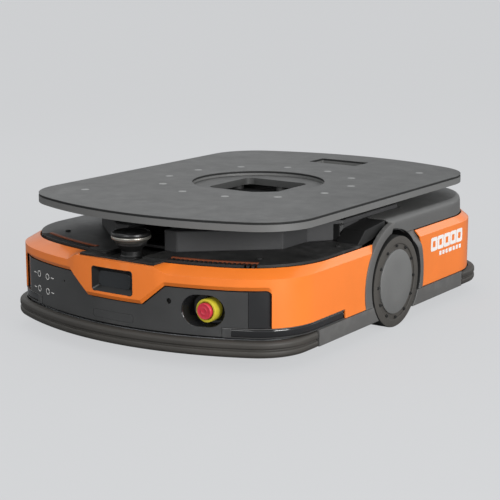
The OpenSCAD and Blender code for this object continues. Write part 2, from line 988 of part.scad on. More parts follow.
module caster_wheel(sx, sy) {
    edge = 3;
    color([0.15, 0.15, 0.15])
    translate([sx * caster_x - 15, sy * caster_y + caster_trail, caster_d / 2])
        rotate([0, 90, 0])
            rotate_extrude()
                polygon([[5 + play, 0], [caster_d / 2 - edge, 0], [caster_d / 2, edge],
                         [caster_d / 2, 30 - edge], [caster_d / 2 - edge, 30], [5 + play, 30]]);
}

// ---------- nodes ----------

base_frame();
wheel_housings();
front_cover();
rear_cover();
front_shell();
rear_shell();
front_fascia();
side_sills();
arch_trims();
front_lips();
bumper_beams();
lidar_base();
lidar_window();
camera_window();
estop_cup();
estop_collar();
caster_mounts();
camera_well();
lift_motors();
battery_pack();
control_box();
deck_camera();
charge_contacts();
lift_posts();
drive_posts();
cover_screws();
deck_plate();
deck_inserts();
lift_table();
lift_skirt();
front_lift_screw();
rear_lift_screw();
left_carriage();
left_motor();
left_rim();
left_tyre();
left_hub_cap();
left_springs();
carriage();  // right_carriage
drive_motor();  // right_motor
rim();  // right_rim
tyre();  // right_tyre
hub_cap();  // right_hub_cap
springs();  // right_springs
caster_fork(-1, -1);  // front_left_fork
caster_wheel(-1, -1);  // front_left_caster
caster_fork(1, -1);  // front_right_fork
caster_wheel(1, -1);  // front_right_caster
caster_fork(-1, 1);  // rear_left_fork
caster_wheel(-1, 1);  // rear_left_caster
caster_fork(1, 1);  // rear_right_fork
caster_wheel(1, 1);  // rear_right_caster
front_bumper();
rear_bumper();
lidar_rotor();
estop_button();
start_button();
stop_button();
reset_button();
mode_button();
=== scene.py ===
import math

import bmesh
import bpy
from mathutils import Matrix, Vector, geometry


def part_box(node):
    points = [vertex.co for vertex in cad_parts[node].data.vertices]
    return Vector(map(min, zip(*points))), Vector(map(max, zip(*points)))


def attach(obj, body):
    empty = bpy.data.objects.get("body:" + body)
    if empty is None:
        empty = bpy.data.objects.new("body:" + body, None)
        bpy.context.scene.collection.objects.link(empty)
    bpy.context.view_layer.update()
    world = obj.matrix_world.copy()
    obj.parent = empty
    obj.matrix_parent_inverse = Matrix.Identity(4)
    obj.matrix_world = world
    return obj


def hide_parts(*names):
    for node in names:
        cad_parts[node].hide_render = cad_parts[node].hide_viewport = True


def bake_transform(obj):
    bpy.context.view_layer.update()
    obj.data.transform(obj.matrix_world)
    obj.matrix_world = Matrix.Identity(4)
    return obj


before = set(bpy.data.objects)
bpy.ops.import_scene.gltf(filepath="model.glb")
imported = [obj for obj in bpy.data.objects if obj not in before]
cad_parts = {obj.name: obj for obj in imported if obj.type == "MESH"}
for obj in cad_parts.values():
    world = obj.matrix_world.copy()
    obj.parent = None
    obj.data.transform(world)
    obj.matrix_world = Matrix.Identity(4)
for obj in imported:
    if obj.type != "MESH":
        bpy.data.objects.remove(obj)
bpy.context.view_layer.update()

# Lengths in this script are millimetres until a mesh is made. Front is -Y.
MM = 0.001
GAP = 0.6               # shut line between two mouldings
SIDES = ((1, "right"), (-1, "left"))


def low(node):
    return tuple(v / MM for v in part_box(node)[0])


def high(node):
    return tuple(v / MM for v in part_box(node)[1])


# ---------- plan outlines: (half width, half length, end radius, corner radius) ----------

END_R = 600.0
CORNER_R = 118.0
SHELL = (high("rear_shell")[0], high("rear_shell")[1], END_R, CORNER_R)
BUMPER = (high("rear_bumper")[0], high("rear_bumper")[1], END_R - 5, CORNER_R - 13)
RIM = (SHELL[0] - 7, SHELL[1] - 27, END_R + 20, CORNER_R + 46)
REAR_SHELL = (SHELL[0], SHELL[1], END_R, CORNER_R + 32)
REAR_RIM = (SHELL[0] - 7, SHELL[1] - 17, END_R + 10, CORNER_R + 46)
ROOF = (SHELL[0] - 11, SHELL[1] - 21, END_R + 6, CORNER_R + 42)
DECK = (high("deck_plate")[0], high("deck_plate")[1], END_R + 20, CORNER_R - 2)

RIM_Z = high("rear_shell")[2]
CREASE_Z = RIM_Z - 14
COVER_Z = RIM_Z + 5
ROOF_Z = high("rear_cover")[2]
HUMP_Z = high("front_cover")[2]
SHELL_LOW_Z = low("rear_shell")[2]
AXLE_Z = (low("right_hub_cap")[2] + high("right_hub_cap")[2]) / 2
FACE_X = high("right_hub_cap")[0]
ARCH_R = 96.0
ARCH_EDGE = ARCH_R + 2
ARCH_Z = AXLE_Z + 4
TRIM_FRONT_R = 121.0
TRIM_REAR_R = 158.0
TRIM_REAR_Y = -46.0


def inset(plan, t):
    """The same outline, t further in."""
    return tuple(v - t for v in plan)


def between(a, b, t):
    return tuple(u + (v - u) * t for u, v in zip(a, b))


def corner_angle(plan):
    return math.acos((plan[0] - plan[3]) / (plan[2] - plan[3]))


def end_x(plan):
    """Where the end arc meets the corner arc."""
    return plan[2] * math.cos(corner_angle(plan))


def side_y(plan):
    """Where the straight side meets the corner arc."""
    return plan[1] - plan[2] + (plan[2] - plan[3]) * math.sin(corner_angle(plan))


def arc_y(plan, x):
    """Distance of the bowed end from the axle, at x."""
    return plan[1] - plan[2] + math.sqrt(plan[2] ** 2 - x * x)


def spot(plan, s, start=0.0):
    """Point on a quarter outline: s 0 to 1 along the side, to 2 round the corner, to 3 at the centre."""
    if s <= 1:
        return plan[0], start + (side_y(plan) - start) * s
    if s <= 2:
        a = corner_angle(plan) * (s - 1)
        return plan[0] - plan[3] + plan[3] * math.cos(a), side_y(plan) + plan[3] * math.sin(a)
    x = end_x(plan) * (3 - s)
    return x, arc_y(plan, x)


def station(plan, x):
    """The s of the outline point at distance x from the centre plane."""
    if x <= end_x(plan):
        return 3 - x / end_x(plan)
    a = math.acos((x - plan[0] + plan[3]) / plan[3])
    return 1 + a / corner_angle(plan)


def side_station(plan, y, start=0.0):
    return (y - start) / (side_y(plan) - start)


def even_stations(side_n, corner_n, end_n):
    """Stations along the side, round the corner and on to the centre plane."""
    side = [i / side_n for i in range(side_n)]
    return side + [1 + i / corner_n for i in range(corner_n)] + [2 + i / end_n for i in range(end_n + 1)]


def quarter(plan):
    return [spot(plan, s) for s in even_stations(1, 14, 24)]


def whole(plan):
    """Closed outline, anticlockwise from the right-hand side."""
    q = quarter(plan)[1:]
    back = q + [(-x, y) for x, y in reversed(q[:-1])]
    return back + [(-x, -y) for x, y in back]


# ---------- materials ----------

def tint(colour, factor):
    return tuple(min(1.0, max(0.0, c * factor)) for c in colour) + (1.0,)


def material(name, colour, rough, metal=0.0, *, vary, bump, grain=900.0, wear=0.0,
             wear_colour=(0.6, 0.6, 0.6), coat=0.0, brushed=None, dust=0.0):
    """Node material: patchy colour, fine grain, lighter worn edges and dust on top faces."""
    mat = bpy.data.materials.new(name)
    mat.use_nodes = True
    nodes, links = mat.node_tree.nodes, mat.node_tree.links
    shader = nodes["Principled BSDF"]
    shader.inputs["Metallic"].default_value = metal
    shader.inputs["Coat Weight"].default_value = coat
    shader.inputs["Coat Roughness"].default_value = 0.12
    place = nodes.new("ShaderNodeTexCoord")

    def noise(scale, detail, stretch=None):
        tex = nodes.new("ShaderNodeTexNoise")
        tex.inputs["Scale"].default_value = scale
        tex.inputs["Detail"].default_value = detail
        source = place.outputs["Object"]
        if stretch:
            mapping = nodes.new("ShaderNodeMapping")
            mapping.inputs["Scale"].default_value = stretch
            links.new(source, mapping.inputs["Vector"])
            source = mapping.outputs["Vector"]
        links.new(source, tex.inputs["Vector"])
        return tex.outputs["Fac"]

    def mix(factor, a, b):
        node = nodes.new("ShaderNodeMix")
        node.data_type = "RGBA"
        links.new(factor, node.inputs["Factor"])
        for value, socket in ((a, node.inputs[6]), (b, node.inputs[7])):
            if isinstance(value, tuple):
                socket.default_value = value
            else:
                links.new(value, socket)
        return node.outputs[2]

    def ramp(source, start, end, top=1.0):
        node = nodes.new("ShaderNodeMapRange")
        node.inputs["From Min"].default_value = start
        node.inputs["From Max"].default_value = end
        node.inputs["To Max"].default_value = top
        links.new(source, node.inputs["Value"])
        return node.outputs["Result"]

    patches = noise(14.0, 3.0)
    fine = noise(grain, 2.0, brushed)
    tone = mix(ramp(patches, 0.35, 0.65), tint(colour, 1 - vary), tint(colour, 1 + vary))
    tone = mix(ramp(fine, 0.3, 0.7, vary * 1.6), tone, tint(colour, 0.72))
    if wear:
        geom = nodes.new("ShaderNodeNewGeometry")
        edge = ramp(geom.outputs["Pointiness"], 0.53, 0.6)
        worn = nodes.new("ShaderNodeMath")
        worn.operation = "MULTIPLY"
        links.new(edge, worn.inputs[0])
        links.new(ramp(noise(60.0, 4.0), 0.45, 0.7, wear), worn.inputs[1])
        tone = mix(worn.outputs["Value"], tone, tint(wear_colour, 1.0))
    if dust:
        geom = nodes.new("ShaderNodeNewGeometry")
        split = nodes.new("ShaderNodeSeparateXYZ")
        links.new(geom.outputs["Normal"], split.inputs["Vector"])
        top = nodes.new("ShaderNodeMath")
        top.operation = "MULTIPLY"
        links.new(ramp(split.outputs["Z"], 0.5, 1.0), top.inputs[0])
        links.new(ramp(noise(35.0, 5.0), 0.4, 0.75, dust), top.inputs[1])
        tone = mix(top.outputs["Value"], tone, (0.45, 0.43, 0.4, 1.0))
    links.new(tone, shader.inputs["Base Color"])
    spread = nodes.new("ShaderNodeMapRange")
    spread.inputs["To Min"].default_value = max(0.03, rough - 0.1)
    spread.inputs["To Max"].default_value = min(1.0, rough + 0.1)
    links.new(patches, spread.inputs["Value"])
    links.new(spread.outputs["Result"], shader.inputs["Roughness"])
    relief = nodes.new("ShaderNodeBump")
    relief.inputs["Strength"].default_value = bump
    relief.inputs["Distance"].default_value = 0.0004
    links.new(fine, relief.inputs["Height"])
    links.new(relief.outputs["Normal"], shader.inputs["Normal"])
    return mat


ORANGE = material("orange_shell", (0.88, 0.205, 0.022), 0.38, coat=0.35, vary=0.03, bump=0.05,
                  wear=0.4, wear_colour=(0.95, 0.45, 0.2))
DECK_GREY = material("deck_grey", (0.051, 0.051, 0.05), 0.5, vary=0.03, bump=0.25, grain=1400.0,
                     wear=0.5, wear_colour=(0.3, 0.3, 0.3), dust=0.06)
COVER_GREY = material("cover_grey", (0.095, 0.095, 0.093), 0.45, vary=0.05, bump=0.2,
                      wear=0.4, wear_colour=(0.25, 0.25, 0.25), dust=0.08)
COVER_BLACK = material("cover_black", (0.012, 0.012, 0.012), 0.5, vary=0.15, bump=0.35, grain=1100.0,
                       wear=0.3, wear_colour=(0.12, 0.12, 0.12), dust=0.06)
HOUSING_BLACK = material("housing_black", (0.007, 0.007, 0.007), 0.6, vary=0.1, bump=0.2)
FASCIA = material("fascia_grey", (0.05, 0.05, 0.05), 0.32, vary=0.08, bump=0.12,
                  wear=0.3, wear_colour=(0.2, 0.2, 0.2))
RUBBER = material("bumper_rubber", (0.042, 0.038, 0.033), 0.55, vary=0.1, bump=0.3, grain=1600.0,
                  wear=0.3, wear_colour=(0.12, 0.11, 0.1))
SILL_GREY = material("sill_grey", (0.098, 0.096, 0.093), 0.5, vary=0.05, bump=0.25,
                     wear=0.4, wear_colour=(0.25, 0.25, 0.24))
GLOSS_BLACK = material("gloss_black", (0.012, 0.012, 0.013), 0.14, vary=0.1, bump=0.03, coat=0.5)
# Black of screws, bolts and inner parts, also used as painted shade behind gaps and in grooves.
BLACK_AND_SHADE = material("black_and_painted_shade", (0.01, 0.01, 0.01), 0.8, vary=0.2, bump=0.2)
TYRE = material("tyre_rubber", (0.055, 0.05, 0.044), 0.7, vary=0.12, bump=0.4, grain=1500.0,
                dust=0.05)
# Painted shade: the tread is the same rubber, painted near black for the shade in the gap round the wheel.
TREAD_SHADE = material("tyre_tread_shade", (0.007, 0.007, 0.006), 0.85, vary=0.12, bump=0.5, grain=1200.0)
HUB_GREY = material("hub_grey", (0.135, 0.135, 0.132), 0.5, vary=0.06, bump=0.3,
                    wear=0.4, wear_colour=(0.3, 0.3, 0.3))
STEEL = material("bright_steel", (0.55, 0.55, 0.56), 0.3, 1.0, vary=0.08, bump=0.1,
                 brushed=(0.1, 1.0, 1.0))
ZINC = material("zinc_plate", (0.42, 0.43, 0.45), 0.42, 1.0, vary=0.14, bump=0.12)
SCREW = material("screw_steel", (0.25, 0.25, 0.25), 0.45, 0.6, vary=0.12, bump=0.15)
FRAME_GREY = material("frame_paint", (0.06, 0.062, 0.065), 0.55, vary=0.12, bump=0.25,
                      wear=0.6, wear_colour=(0.3, 0.3, 0.3), dust=0.15)
YELLOW = material("stop_yellow", (0.62, 0.52, 0.035), 0.4, vary=0.06, bump=0.08,
                  wear=0.3, wear_colour=(0.8, 0.75, 0.3))
RED = material("stop_red", (0.62, 0.03, 0.06), 0.32, vary=0.06, bump=0.05, coat=0.3,
               wear=0.3, wear_colour=(0.85, 0.3, 0.3))
WHITE = material("marking_white", (0.82, 0.8, 0.78), 0.55, vary=0.04, bump=0.1)
COPPER = material("contact_copper", (0.75, 0.42, 0.2), 0.32, 1.0, vary=0.12, bump=0.1)
BATTERY = material("battery_case", (0.05, 0.07, 0.1), 0.5, vary=0.12, bump=0.2)
CASE = material("case_grey", (0.3, 0.31, 0.32), 0.4, 0.7, vary=0.1, bump=0.12)
LIDAR_BLACK = material("lidar_black", (0.006, 0.006, 0.006), 0.3, vary=0.1, bump=0.08)
LENS = material("lens_glass", (0.02, 0.022, 0.024), 0.22, vary=0.05, bump=0.01, coat=0.3)


# ---------- meshes ----------


def add_object(name, data):
    obj = bpy.data.objects.new(name, data)
    bpy.context.scene.collection.objects.link(obj)
    return obj


def object_from(name, bm):
    """Object from a BMesh, which is freed."""
    mesh = bpy.data.meshes.new(name)
    bm.to_mesh(mesh)
    bm.free()
    return add_object(name, mesh)


def round_edges(obj, width, segments, angle):
    """Bevels the edges sharper than an angle, and evens the shading of the flat faces."""
    mod = obj.modifiers.new("edges", "BEVEL")
    mod.width = width * MM
    mod.segments = segments
    mod.limit_method = "ANGLE"
    mod.angle_limit = math.radians(angle)
    mod.harden_normals = True
    return obj.modifiers.new("normals", "WEIGHTED_NORMAL")


def apply_modifiers(obj):
    graph = bpy.context.evaluated_depsgraph_get()
    made = bpy.data.meshes.new_from_object(obj.evaluated_get(graph))
    obj.modifiers.clear()
    obj.data = made


def finish_mesh(obj, bevel, segments, angle, solid):
    """Adds thickness and rounded edges, then keeps the result as the piece's mesh."""
    if solid:
        mod = obj.modifiers.new("thickness", "SOLIDIFY")
        mod.thickness = solid * MM
        mod.offset = -1
        mod.use_even_offset = True
    if bevel:
        round_edges(obj, bevel, segments, angle).keep_sharp = True
    if obj.modifiers:
        apply_modifiers(obj)


def mesh_builder(mesh_data):
    """BMesh of (points in millimetres, faces), with near points merged."""
    points, faces = mesh_data
    bm = bmesh.new()
    verts = [bm.verts.new((x * MM, y * MM, z * MM)) for x, y, z in points]
    for face in faces:
        if len(set(face)) > 2:
            try:
                bm.faces.new([verts[i] for i in face])
            except ValueError:
                pass
    bmesh.ops.remove_doubles(bm, verts=bm.verts, dist=0.02 * MM)
    return bm


def piece(name, mesh_data, mat, body="chassis", bevel=0.0, segments=2, angle=28.0, solid=0.0,
          replaces=(), outward=False):
    """Makes a piece from (points, faces) in millimetres and lets it ride on a body, if one is named."""
    bm = mesh_builder(mesh_data)
    bmesh.ops.dissolve_degenerate(bm, edges=bm.edges, dist=0.01 * MM)
    loose = [v for v in bm.verts if not v.link_faces]
    bmesh.ops.delete(bm, geom=loose, context="VERTS")
    bmesh.ops.recalc_face_normals(bm, faces=bm.faces)
    if outward:
        level = Vector((1, 1, 0))
        facing = sum(f.normal.dot(f.calc_center_median() * level) * f.calc_area() for f in bm.faces)
        if facing < 0:
            bmesh.ops.reverse_faces(bm, faces=bm.faces)
    obj = object_from(name, bm)
    obj.data.shade_smooth()
    obj.data.set_sharp_from_angle(angle=math.radians(angle + 4))
    finish_mesh(obj, bevel, segments, angle, solid)
    obj.data.materials.clear()
    obj.data.materials.append(mat)
    if body:
        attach(obj, body)
    if replaces:
        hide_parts(*replaces)
    return obj


def paint(obj, mat, chosen):
    """Gives a second material to the faces for which chosen(centre in mm, normal) is true."""
    obj.data.materials.append(mat)
    for face in obj.data.polygons:
        if chosen(face.center / MM, face.normal):
            face.material_index = 1


def join(*parts):
    points, faces = [], []
    for p, f in parts:
        faces += [tuple(i + len(points) for i in face) for face in f]
        points += p
    return points, faces


def move(mesh_data, dx, dy, dz=0.0):
    return [(x + dx, y + dy, z + dz) for x, y, z in mesh_data[0]], mesh_data[1]


def flip(mesh_data, sx, sy=1):
    return [(x * sx, y * sy, z) for x, y, z in mesh_data[0]], mesh_data[1]


def grid(rows, keep=None, loop=False):
    """Quads through equal rows of points; keep(k, j) says which cells stay."""
    n = len(rows[0])
    points = [p for row in rows for p in row]
    faces = []
    for k in range(len(rows) - 1):
        for j in range(n if loop else n - 1):
            if keep is None or keep(k, j):
                a, b = k * n + j, k * n + (j + 1) % n
                faces.append((a, b, b + n, a + n))
    return points, faces


def prism(outer, z0, z1, holes=()):
    """Flat slab between two heights, with holes right through."""
    loops = [list(outer)] + [list(h) for h in holes]
    flat = [p for loop in loops for p in loop]
    tris = geometry.tessellate_polygon([[Vector((x, y, 0)) for x, y in loop] for loop in loops])
    n = len(flat)
    points = [(x, y, z0) for x, y in flat] + [(x, y, z1) for x, y in flat]
    faces = [tuple(t) for t in tris] + [tuple(i + n for i in t) for t in tris]
    start = 0
    for loop in loops:
        m = len(loop)
        for i in range(m):
            a, b = start + i, start + (i + 1) % m
            faces.append((a, b, b + n, a + n))
        start += m
    return points, faces


def circle(r, n, x=0.0, y=0.0, turn=0.0):
    return [(x + r * math.cos(turn + 2 * math.pi * i / n), y + r * math.sin(turn + 2 * math.pi * i / n))
            for i in range(n)]


def rounded(x0, x1, y0, y1, r, n=5):
    """Rectangle with round corners."""
    out = []
    centres = ((x1 - r, y1 - r), (x0 + r, y1 - r), (x0 + r, y0 + r), (x1 - r, y0 + r))
    for k, (cx, cy) in enumerate(centres):
        for i in range(n + 1):
            a = math.radians(90 * k + 90 * i / n)
            out.append((cx + r * math.cos(a), cy + r * math.sin(a)))
    return out


def along_x(mesh_data, dx, dy, dz):
    """Turns a shape drawn along Z so that its Z runs along X, then moves it."""
    return [(z + dx, x + dy, y + dz) for x, y, z in mesh_data[0]], mesh_data[1]


def box(x0, x1, y0, y1, z0, z1):
    return prism([(x0, y0), (x1, y0), (x1, y1), (x0, y1)], z0, z1)


def revolve(profile, n, loop=False):
    """Turns (radius, height) points about Z; an open profile starts and ends on the axis."""
    rows = [[(r * math.cos(2 * math.pi * i / n), r * math.sin(2 * math.pi * i / n), h) for i in range(n)]
            for r, h in profile]
    if loop:
        rows.append(rows[0])
    return grid(rows, loop=True)


def sweep(path, profile):
    """Closed (inset, height) profile carried along a plan path of (x, y, nx, ny), with flat ends."""
    rows = []
    for t, z in profile:
        rows.append([(x - nx * t, y - ny * t, z) for x, y, nx, ny in path])
    rows.append(rows[0])
    points, faces = grid(rows)
    n, m = len(path), len(profile)
    for end in (0, n - 1):
        ring = [k * n + end for k in range(m)]
        tris = geometry.tessellate_polygon([[Vector((t, z, 0)) for t, z in profile]])
        faces += [tuple(ring[i] for i in tri) for tri in tris]
    return points, faces


def with_normals(points):
    path = []
    for i, (x, y) in enumerate(points):
        ax, ay = points[max(i - 1, 0)]
        bx, by = points[min(i + 1, len(points) - 1)]
        dx, dy = bx - ax, by - ay
        size = math.hypot(dx, dy)
        path.append((x, y, dy / size, -dx / size))
    return path


def end_path(plan, start_y, sy):
    """Plan path round one bowed end, from the right-hand side at start_y to the left-hand side."""
    s0 = side_station(plan, start_y)
    half = [spot(plan, s) for s in [s0, (s0 + 1) / 2] + even_stations(1, 16, 24)[1:]]
    points = half + [(-x, y) for x, y in reversed(half[:-1])]
    points = [(x, y * sy) for x, y in points]
    if sy > 0:
        return with_normals(points)
    return [(x, y, -nx, -ny) for x, y, nx, ny in with_normals(points)]


def cut(obj, cutter_data):
    """Takes a closed shape out of a piece."""
    bm = mesh_builder(cutter_data)
    bmesh.ops.recalc_face_normals(bm, faces=bm.faces)
    tool = object_from("cutter", bm)
    mod = obj.modifiers.new("cut", "BOOLEAN")
    mod.operation = "DIFFERENCE"
    mod.solver = "EXACT"
    mod.object = tool
    apply_modifiers(obj)
    bpy.data.objects.remove(tool)


# ---------- orange shells ----------

FASCIA_X = 288.0
STRIP_Z = 142.0
STRIP_END_R = 7.0       # rounding where the strip turns down beside the fascia
CHEVRON_Z = 104.5
LIP_Z = high("front_lips")[2]
LIP_END_Y = 194.0
CHEVRON_TOP_X = 108.0
CHEVRON_LOW_X = 62.5
CHEVRON_RISE = 13.0


def strip_low(x):
    """Lower edge of the front trim strip, which dips to the chevron."""
    if x > FASCIA_X - STRIP_END_R:
        fall = STRIP_END_R ** 2 - (x - FASCIA_X + STRIP_END_R) ** 2
        return STRIP_Z - STRIP_END_R + math.sqrt(max(0.0, fall))
    if x > CHEVRON_TOP_X:
        return STRIP_Z
    if x > CHEVRON_LOW_X:
        return STRIP_Z + (CHEVRON_Z - STRIP_Z) * (CHEVRON_TOP_X - x) / (CHEVRON_TOP_X - CHEVRON_LOW_X)
    return CHEVRON_Z


def strip_top(x):
    """Upper edge of the strip's front face, raised at the chevron."""
    rise = CHEVRON_RISE * min(1.0, max(0.0, (115 - x) / 27))
    return CREASE_Z + rise


def ease(t):
    """Smooth step from 0 to 1."""
    t = min(1.0, max(0.0, t))
    return t * t * (3 - 2 * t)


def proud(x):
    """How far the strip and the chevron stand out from the shell's outline."""
    return 4.0 * ease((285 - x) / 60) + 2.5 * ease((CHEVRON_TOP_X + 10 - x) / 26)


def rim_spot(s, start, plan, rim):
    """Rim point that matches a station of the shell outline."""
    if s <= 2:
        return spot(rim, s, start)
    x = end_x(plan) * (3 - s)
    straight = 130.0
    if x > straight:
        x = straight + (x - straight) * (end_x(rim) - straight) / (end_x(plan) - straight)
    return x, arc_y(rim, x)


def arch_start(z, r, centre=0.0):
    """Distance from the axle at which a shell starts, beyond an arc round the wheel."""
    return centre + math.sqrt(max(0.0, r * r - (z - AXLE_Z) ** 2))


def mirrored_columns(half, sy):
    """Right half of a row of points, carried on to the left-hand side."""
    row = half + [(-x, y, z) for x, y, z in reversed(half[:-1])]
    return [(x, y * sy, z) for x, y, z in row]


def front_shell_skin():
    """Front shell from one wheel opening round to the other, left open where the fascia sits."""
    trim_r = TRIM_FRONT_R + GAP
    notch = side_station(SHELL, LIP_END_Y, arch_start(LIP_Z, trim_r))
    edge = station(SHELL, FASCIA_X)
    stations = [notch * i / 8 for i in range(8)] + [notch + (1 - notch) * i / 4 for i in range(4)]
    stations += [1 + (edge - 1) * i / 12 for i in range(12)]
    inner = [FASCIA_X, 287.4, 286, 284, 281, 276, 270, 262]
    inner += [end_x(SHELL) - i * (end_x(SHELL) - 115) / 12 for i in range(13)]
    inner += [CHEVRON_TOP_X, 101, 94, 88, 76, CHEVRON_LOW_X, 48, 32, 16, 0]
    stations += [station(SHELL, x) for x in inner]
    first = len([s for s in stations if s < edge - 1e-6])
    notch_column = 8
    fixed = [SHELL_LOW_Z, 68, LIP_Z + GAP, 86, 94, 102, 110, 118, 126, 133]
    rows = []
    for k in range(len(fixed) + 4):
        row = []
        for s in stations:
            x0 = spot(SHELL, s)[0]
            opened = s > edge - 1e-6
            bottom = strip_low(x0) if opened else STRIP_Z - STRIP_END_R * (s > 1)
            if k < len(fixed):
                z, plan = fixed[k], SHELL
            elif k == len(fixed):
                under = 5.5 * min(1.0, max(0.0, (FASCIA_X - x0) / STRIP_END_R)) - proud(x0)
                z, plan = bottom, inset(SHELL, under if opened else 0)
            elif k == len(fixed) + 1:
                z, plan = (bottom + 7.5 if opened else 150), inset(SHELL, -proud(x0))
            elif k == len(fixed) + 2:
                z, plan = strip_top(x0), inset(SHELL, -proud(x0))
            else:
                start = arch_start(RIM_Z, trim_r)
                x, y = rim_spot(s, start, SHELL, RIM)
                row.append((x, y, RIM_Z))
                continue
            x, y = spot(plan, s, arch_start(z, trim_r))
            row.append((x, y, z))
        rows.append(mirrored_columns(row, -1))
    n = len(stations)

    def keep(k, j):
        j = min(j, 2 * n - 3 - j)
        if k >= len(fixed):
            return True
        if j >= first:
            return False
        return k >= 2 or j < notch_column

    return grid(rows, keep)


front_shell = piece("front_shell_skin", front_shell_skin(), ORANGE, bevel=0.8, solid=3.2, angle=20,
                    replaces=("front_shell",), outward=True)


def rear_shell_skin():
    """Rear shell from one wheel opening round to the other, with a gap for the charge contacts."""
    low_z, high_z = low("charge_contacts")[2] - 2, high("charge_contacts")[2] + 2
    half_x = high("charge_contacts")[0] + 2
    stations = [i / 14 for i in range(14)] + [1 + i / 16 for i in range(16)]
    stations += [2 + i / 10 * (1 - half_x / end_x(REAR_SHELL)) for i in range(11)]
    stations += [station(REAR_SHELL, half_x * (1 - i / 4)) for i in range(1, 5)]
    levels = [SHELL_LOW_Z, 68, low_z, 84, 92, 100, 108, high_z, 126, 134, 144, 154, CREASE_Z]

    def start(z):
        return arch_start(z, TRIM_REAR_R + GAP, TRIM_REAR_Y)

    rows = [[spot(REAR_SHELL, s, start(z)) + (z,) for s in stations] for z in levels]
    rows.append([rim_spot(s, start(RIM_Z), REAR_SHELL, REAR_RIM) + (RIM_Z,) for s in stations])
    rows = [mirrored_columns(row, 1) for row in rows]
    n = len(stations)
    gap_column = 14 + 16 + 10
    gap_rows = range(levels.index(low_z), levels.index(high_z))

    def keep(k, j):
        j = min(j, 2 * n - 3 - j)
        return k not in gap_rows or j < gap_column

    return grid(rows, keep)


piece("rear_shell_skin", rear_shell_skin(), ORANGE, bevel=0.8, solid=3.2, angle=20,
      replaces=("rear_shell",), outward=True)

# ---------- bumpers ----------

BUMPER_LOW = low("front_bumper")[2]
BUMPER_PROFILE = [(14, 0), (6, 0), (2.2, 2), (0.4, 5), (0, 7), (0, 11), (0.8, 12.6), (3.8, 13.8),
                  (3.8, 16.2), (0.8, 17.4), (0, 19), (0, 24), (0.5, 26), (2.4, 28.4), (5, 30), (14, 30)]
BUMPER_PROFILE = [(t, BUMPER_LOW + z) for t, z in BUMPER_PROFILE]
for sy, name in ((-1, "front_bumper"), (1, "rear_bumper")):
    strip = sweep(end_path(BUMPER, 290, sy), BUMPER_PROFILE)
    piece(name + "_strip", strip, RUBBER, name, bevel=0.5, angle=50, replaces=(name,))

# ---------- deck ----------

DECK_TOP = high("deck_plate")[2]
DECK_LOW = low("deck_plate")[2]
OPENING_R = 135.0
SLOT = (-60, 60, 290, 350)
# heights of the groove round the deck's edge, whose dark back is painted shade
GROOVE_Z = (DECK_TOP - 4.6, DECK_TOP - 0.9)
openings = [circle(OPENING_R, 128), rounded(*SLOT, 4)]
core = prism(whole(DECK), DECK_LOW, GROOVE_Z[0], openings)
# Painted light: the deck's side faces are painted lighter than its top, for the light they catch.
DECK_SIDE_LIGHT = material("deck_side_painted_light", (0.135, 0.135, 0.132), 0.5, vary=0.03, bump=0.2)
deck_core = piece("deck_top_plate", core, DECK_GREY, "deck", bevel=1.5, segments=3,
                  replaces=("deck_plate",))
paint(deck_core, DECK_SIDE_LIGHT, lambda c, n: abs(n.z) < 0.9)
sheet = prism(whole(inset(DECK, 0.3)), GROOVE_Z[1], DECK_TOP, openings)
piece("deck_top_sheet", sheet, DECK_GREY, "deck", bevel=0.35)
x0, x1, y0, y1 = SLOT
# dark back of the groove round the deck's edge: painted shade
groove_shade_openings = [circle(OPENING_R + 0.8, 128), rounded(x0 - 0.5, x1 + 0.5, y0 - 0.5, y1 + 0.5, 4)]
groove_shade = prism(whole(inset(DECK, 1.6)), GROOVE_Z[0] - 0.2, GROOVE_Z[1] + 0.2, groove_shade_openings)
piece("deck_edge_groove_shade", groove_shade, BLACK_AND_SHADE, "deck")

# ---------- front fascia, camera window and panel buttons ----------

FASCIA_PLAN = inset(SHELL, 1.5)
THROUGH_Y = (-485, -380)            # reach of a cutter through the front
LIP_X = 210.0
END_FACE_X = 253.0
# Painted shade: a darker copy of the fascia's finish for its end faces, which turn away from the light.
FASCIA_END_SHADE = material("fascia_end_shade", (0.02, 0.02, 0.021), 0.22, coat=0.3, vary=0.06, bump=0.06)


def on_front(x, z, depth, plan=FASCIA_PLAN):
    """Point of the bowed front face at x, z; depth is measured inwards."""
    s = station(plan, min(abs(x), plan[0] - 0.01))
    return x, -spot(plan, s)[1] + depth, z


def fascia_rows(columns):
    """Rows of points up the fascia, over the given distances from the centre plane."""
    rows = []
    for k in range(12):
        row = []
        for x in columns:
            bottom = LIP_Z + GAP if x >= LIP_X else SHELL_LOW_Z
            top = strip_low(x) - 2.2
            level = SHELL_LOW_Z if k == 0 else LIP_Z + GAP + (top - LIP_Z - GAP) * (k - 1) / 10
            deeper = 6 * max(0.0, (x - END_FACE_X) / (FASCIA_X - END_FACE_X))
            px, py, pz = on_front(x, max(bottom, level), 0, inset(FASCIA_PLAN, deeper))
            row.append((px, -py, pz))
        rows.append(row)
    return rows


def fascia_skin():
    """Middle of the fascia, between its two end faces."""
    half = [END_FACE_X, 244, 236, 227, 218, LIP_X, LIP_X - 0.1] + [198 - 12 * i for i in range(7)]
    half += [117, 108, 100, 90, 80, 72, 64, 52, 39, 26, 13, 0]
    return grid([mirrored_columns(row, -1) for row in fascia_rows(half)])


def stadium(r, half):
    """Outline of a slot with round ends, half being half the straight part."""
    out = []
    for i in range(13):
        a = math.radians(15 * i - 90)
        out.append((half + r * math.cos(a), r * math.sin(a)))
    return out + [(-x, -z) for x, z in out]


def along_y(outline, cx=0.0, cz=0.0):
    """Closed solid through the front, from an (x, z) outline."""
    mesh_data = prism([(x + cx, z + cz) for x, z in outline], *THROUGH_Y)
    return [(x, z, y) for x, y, z in mesh_data[0]], mesh_data[1]


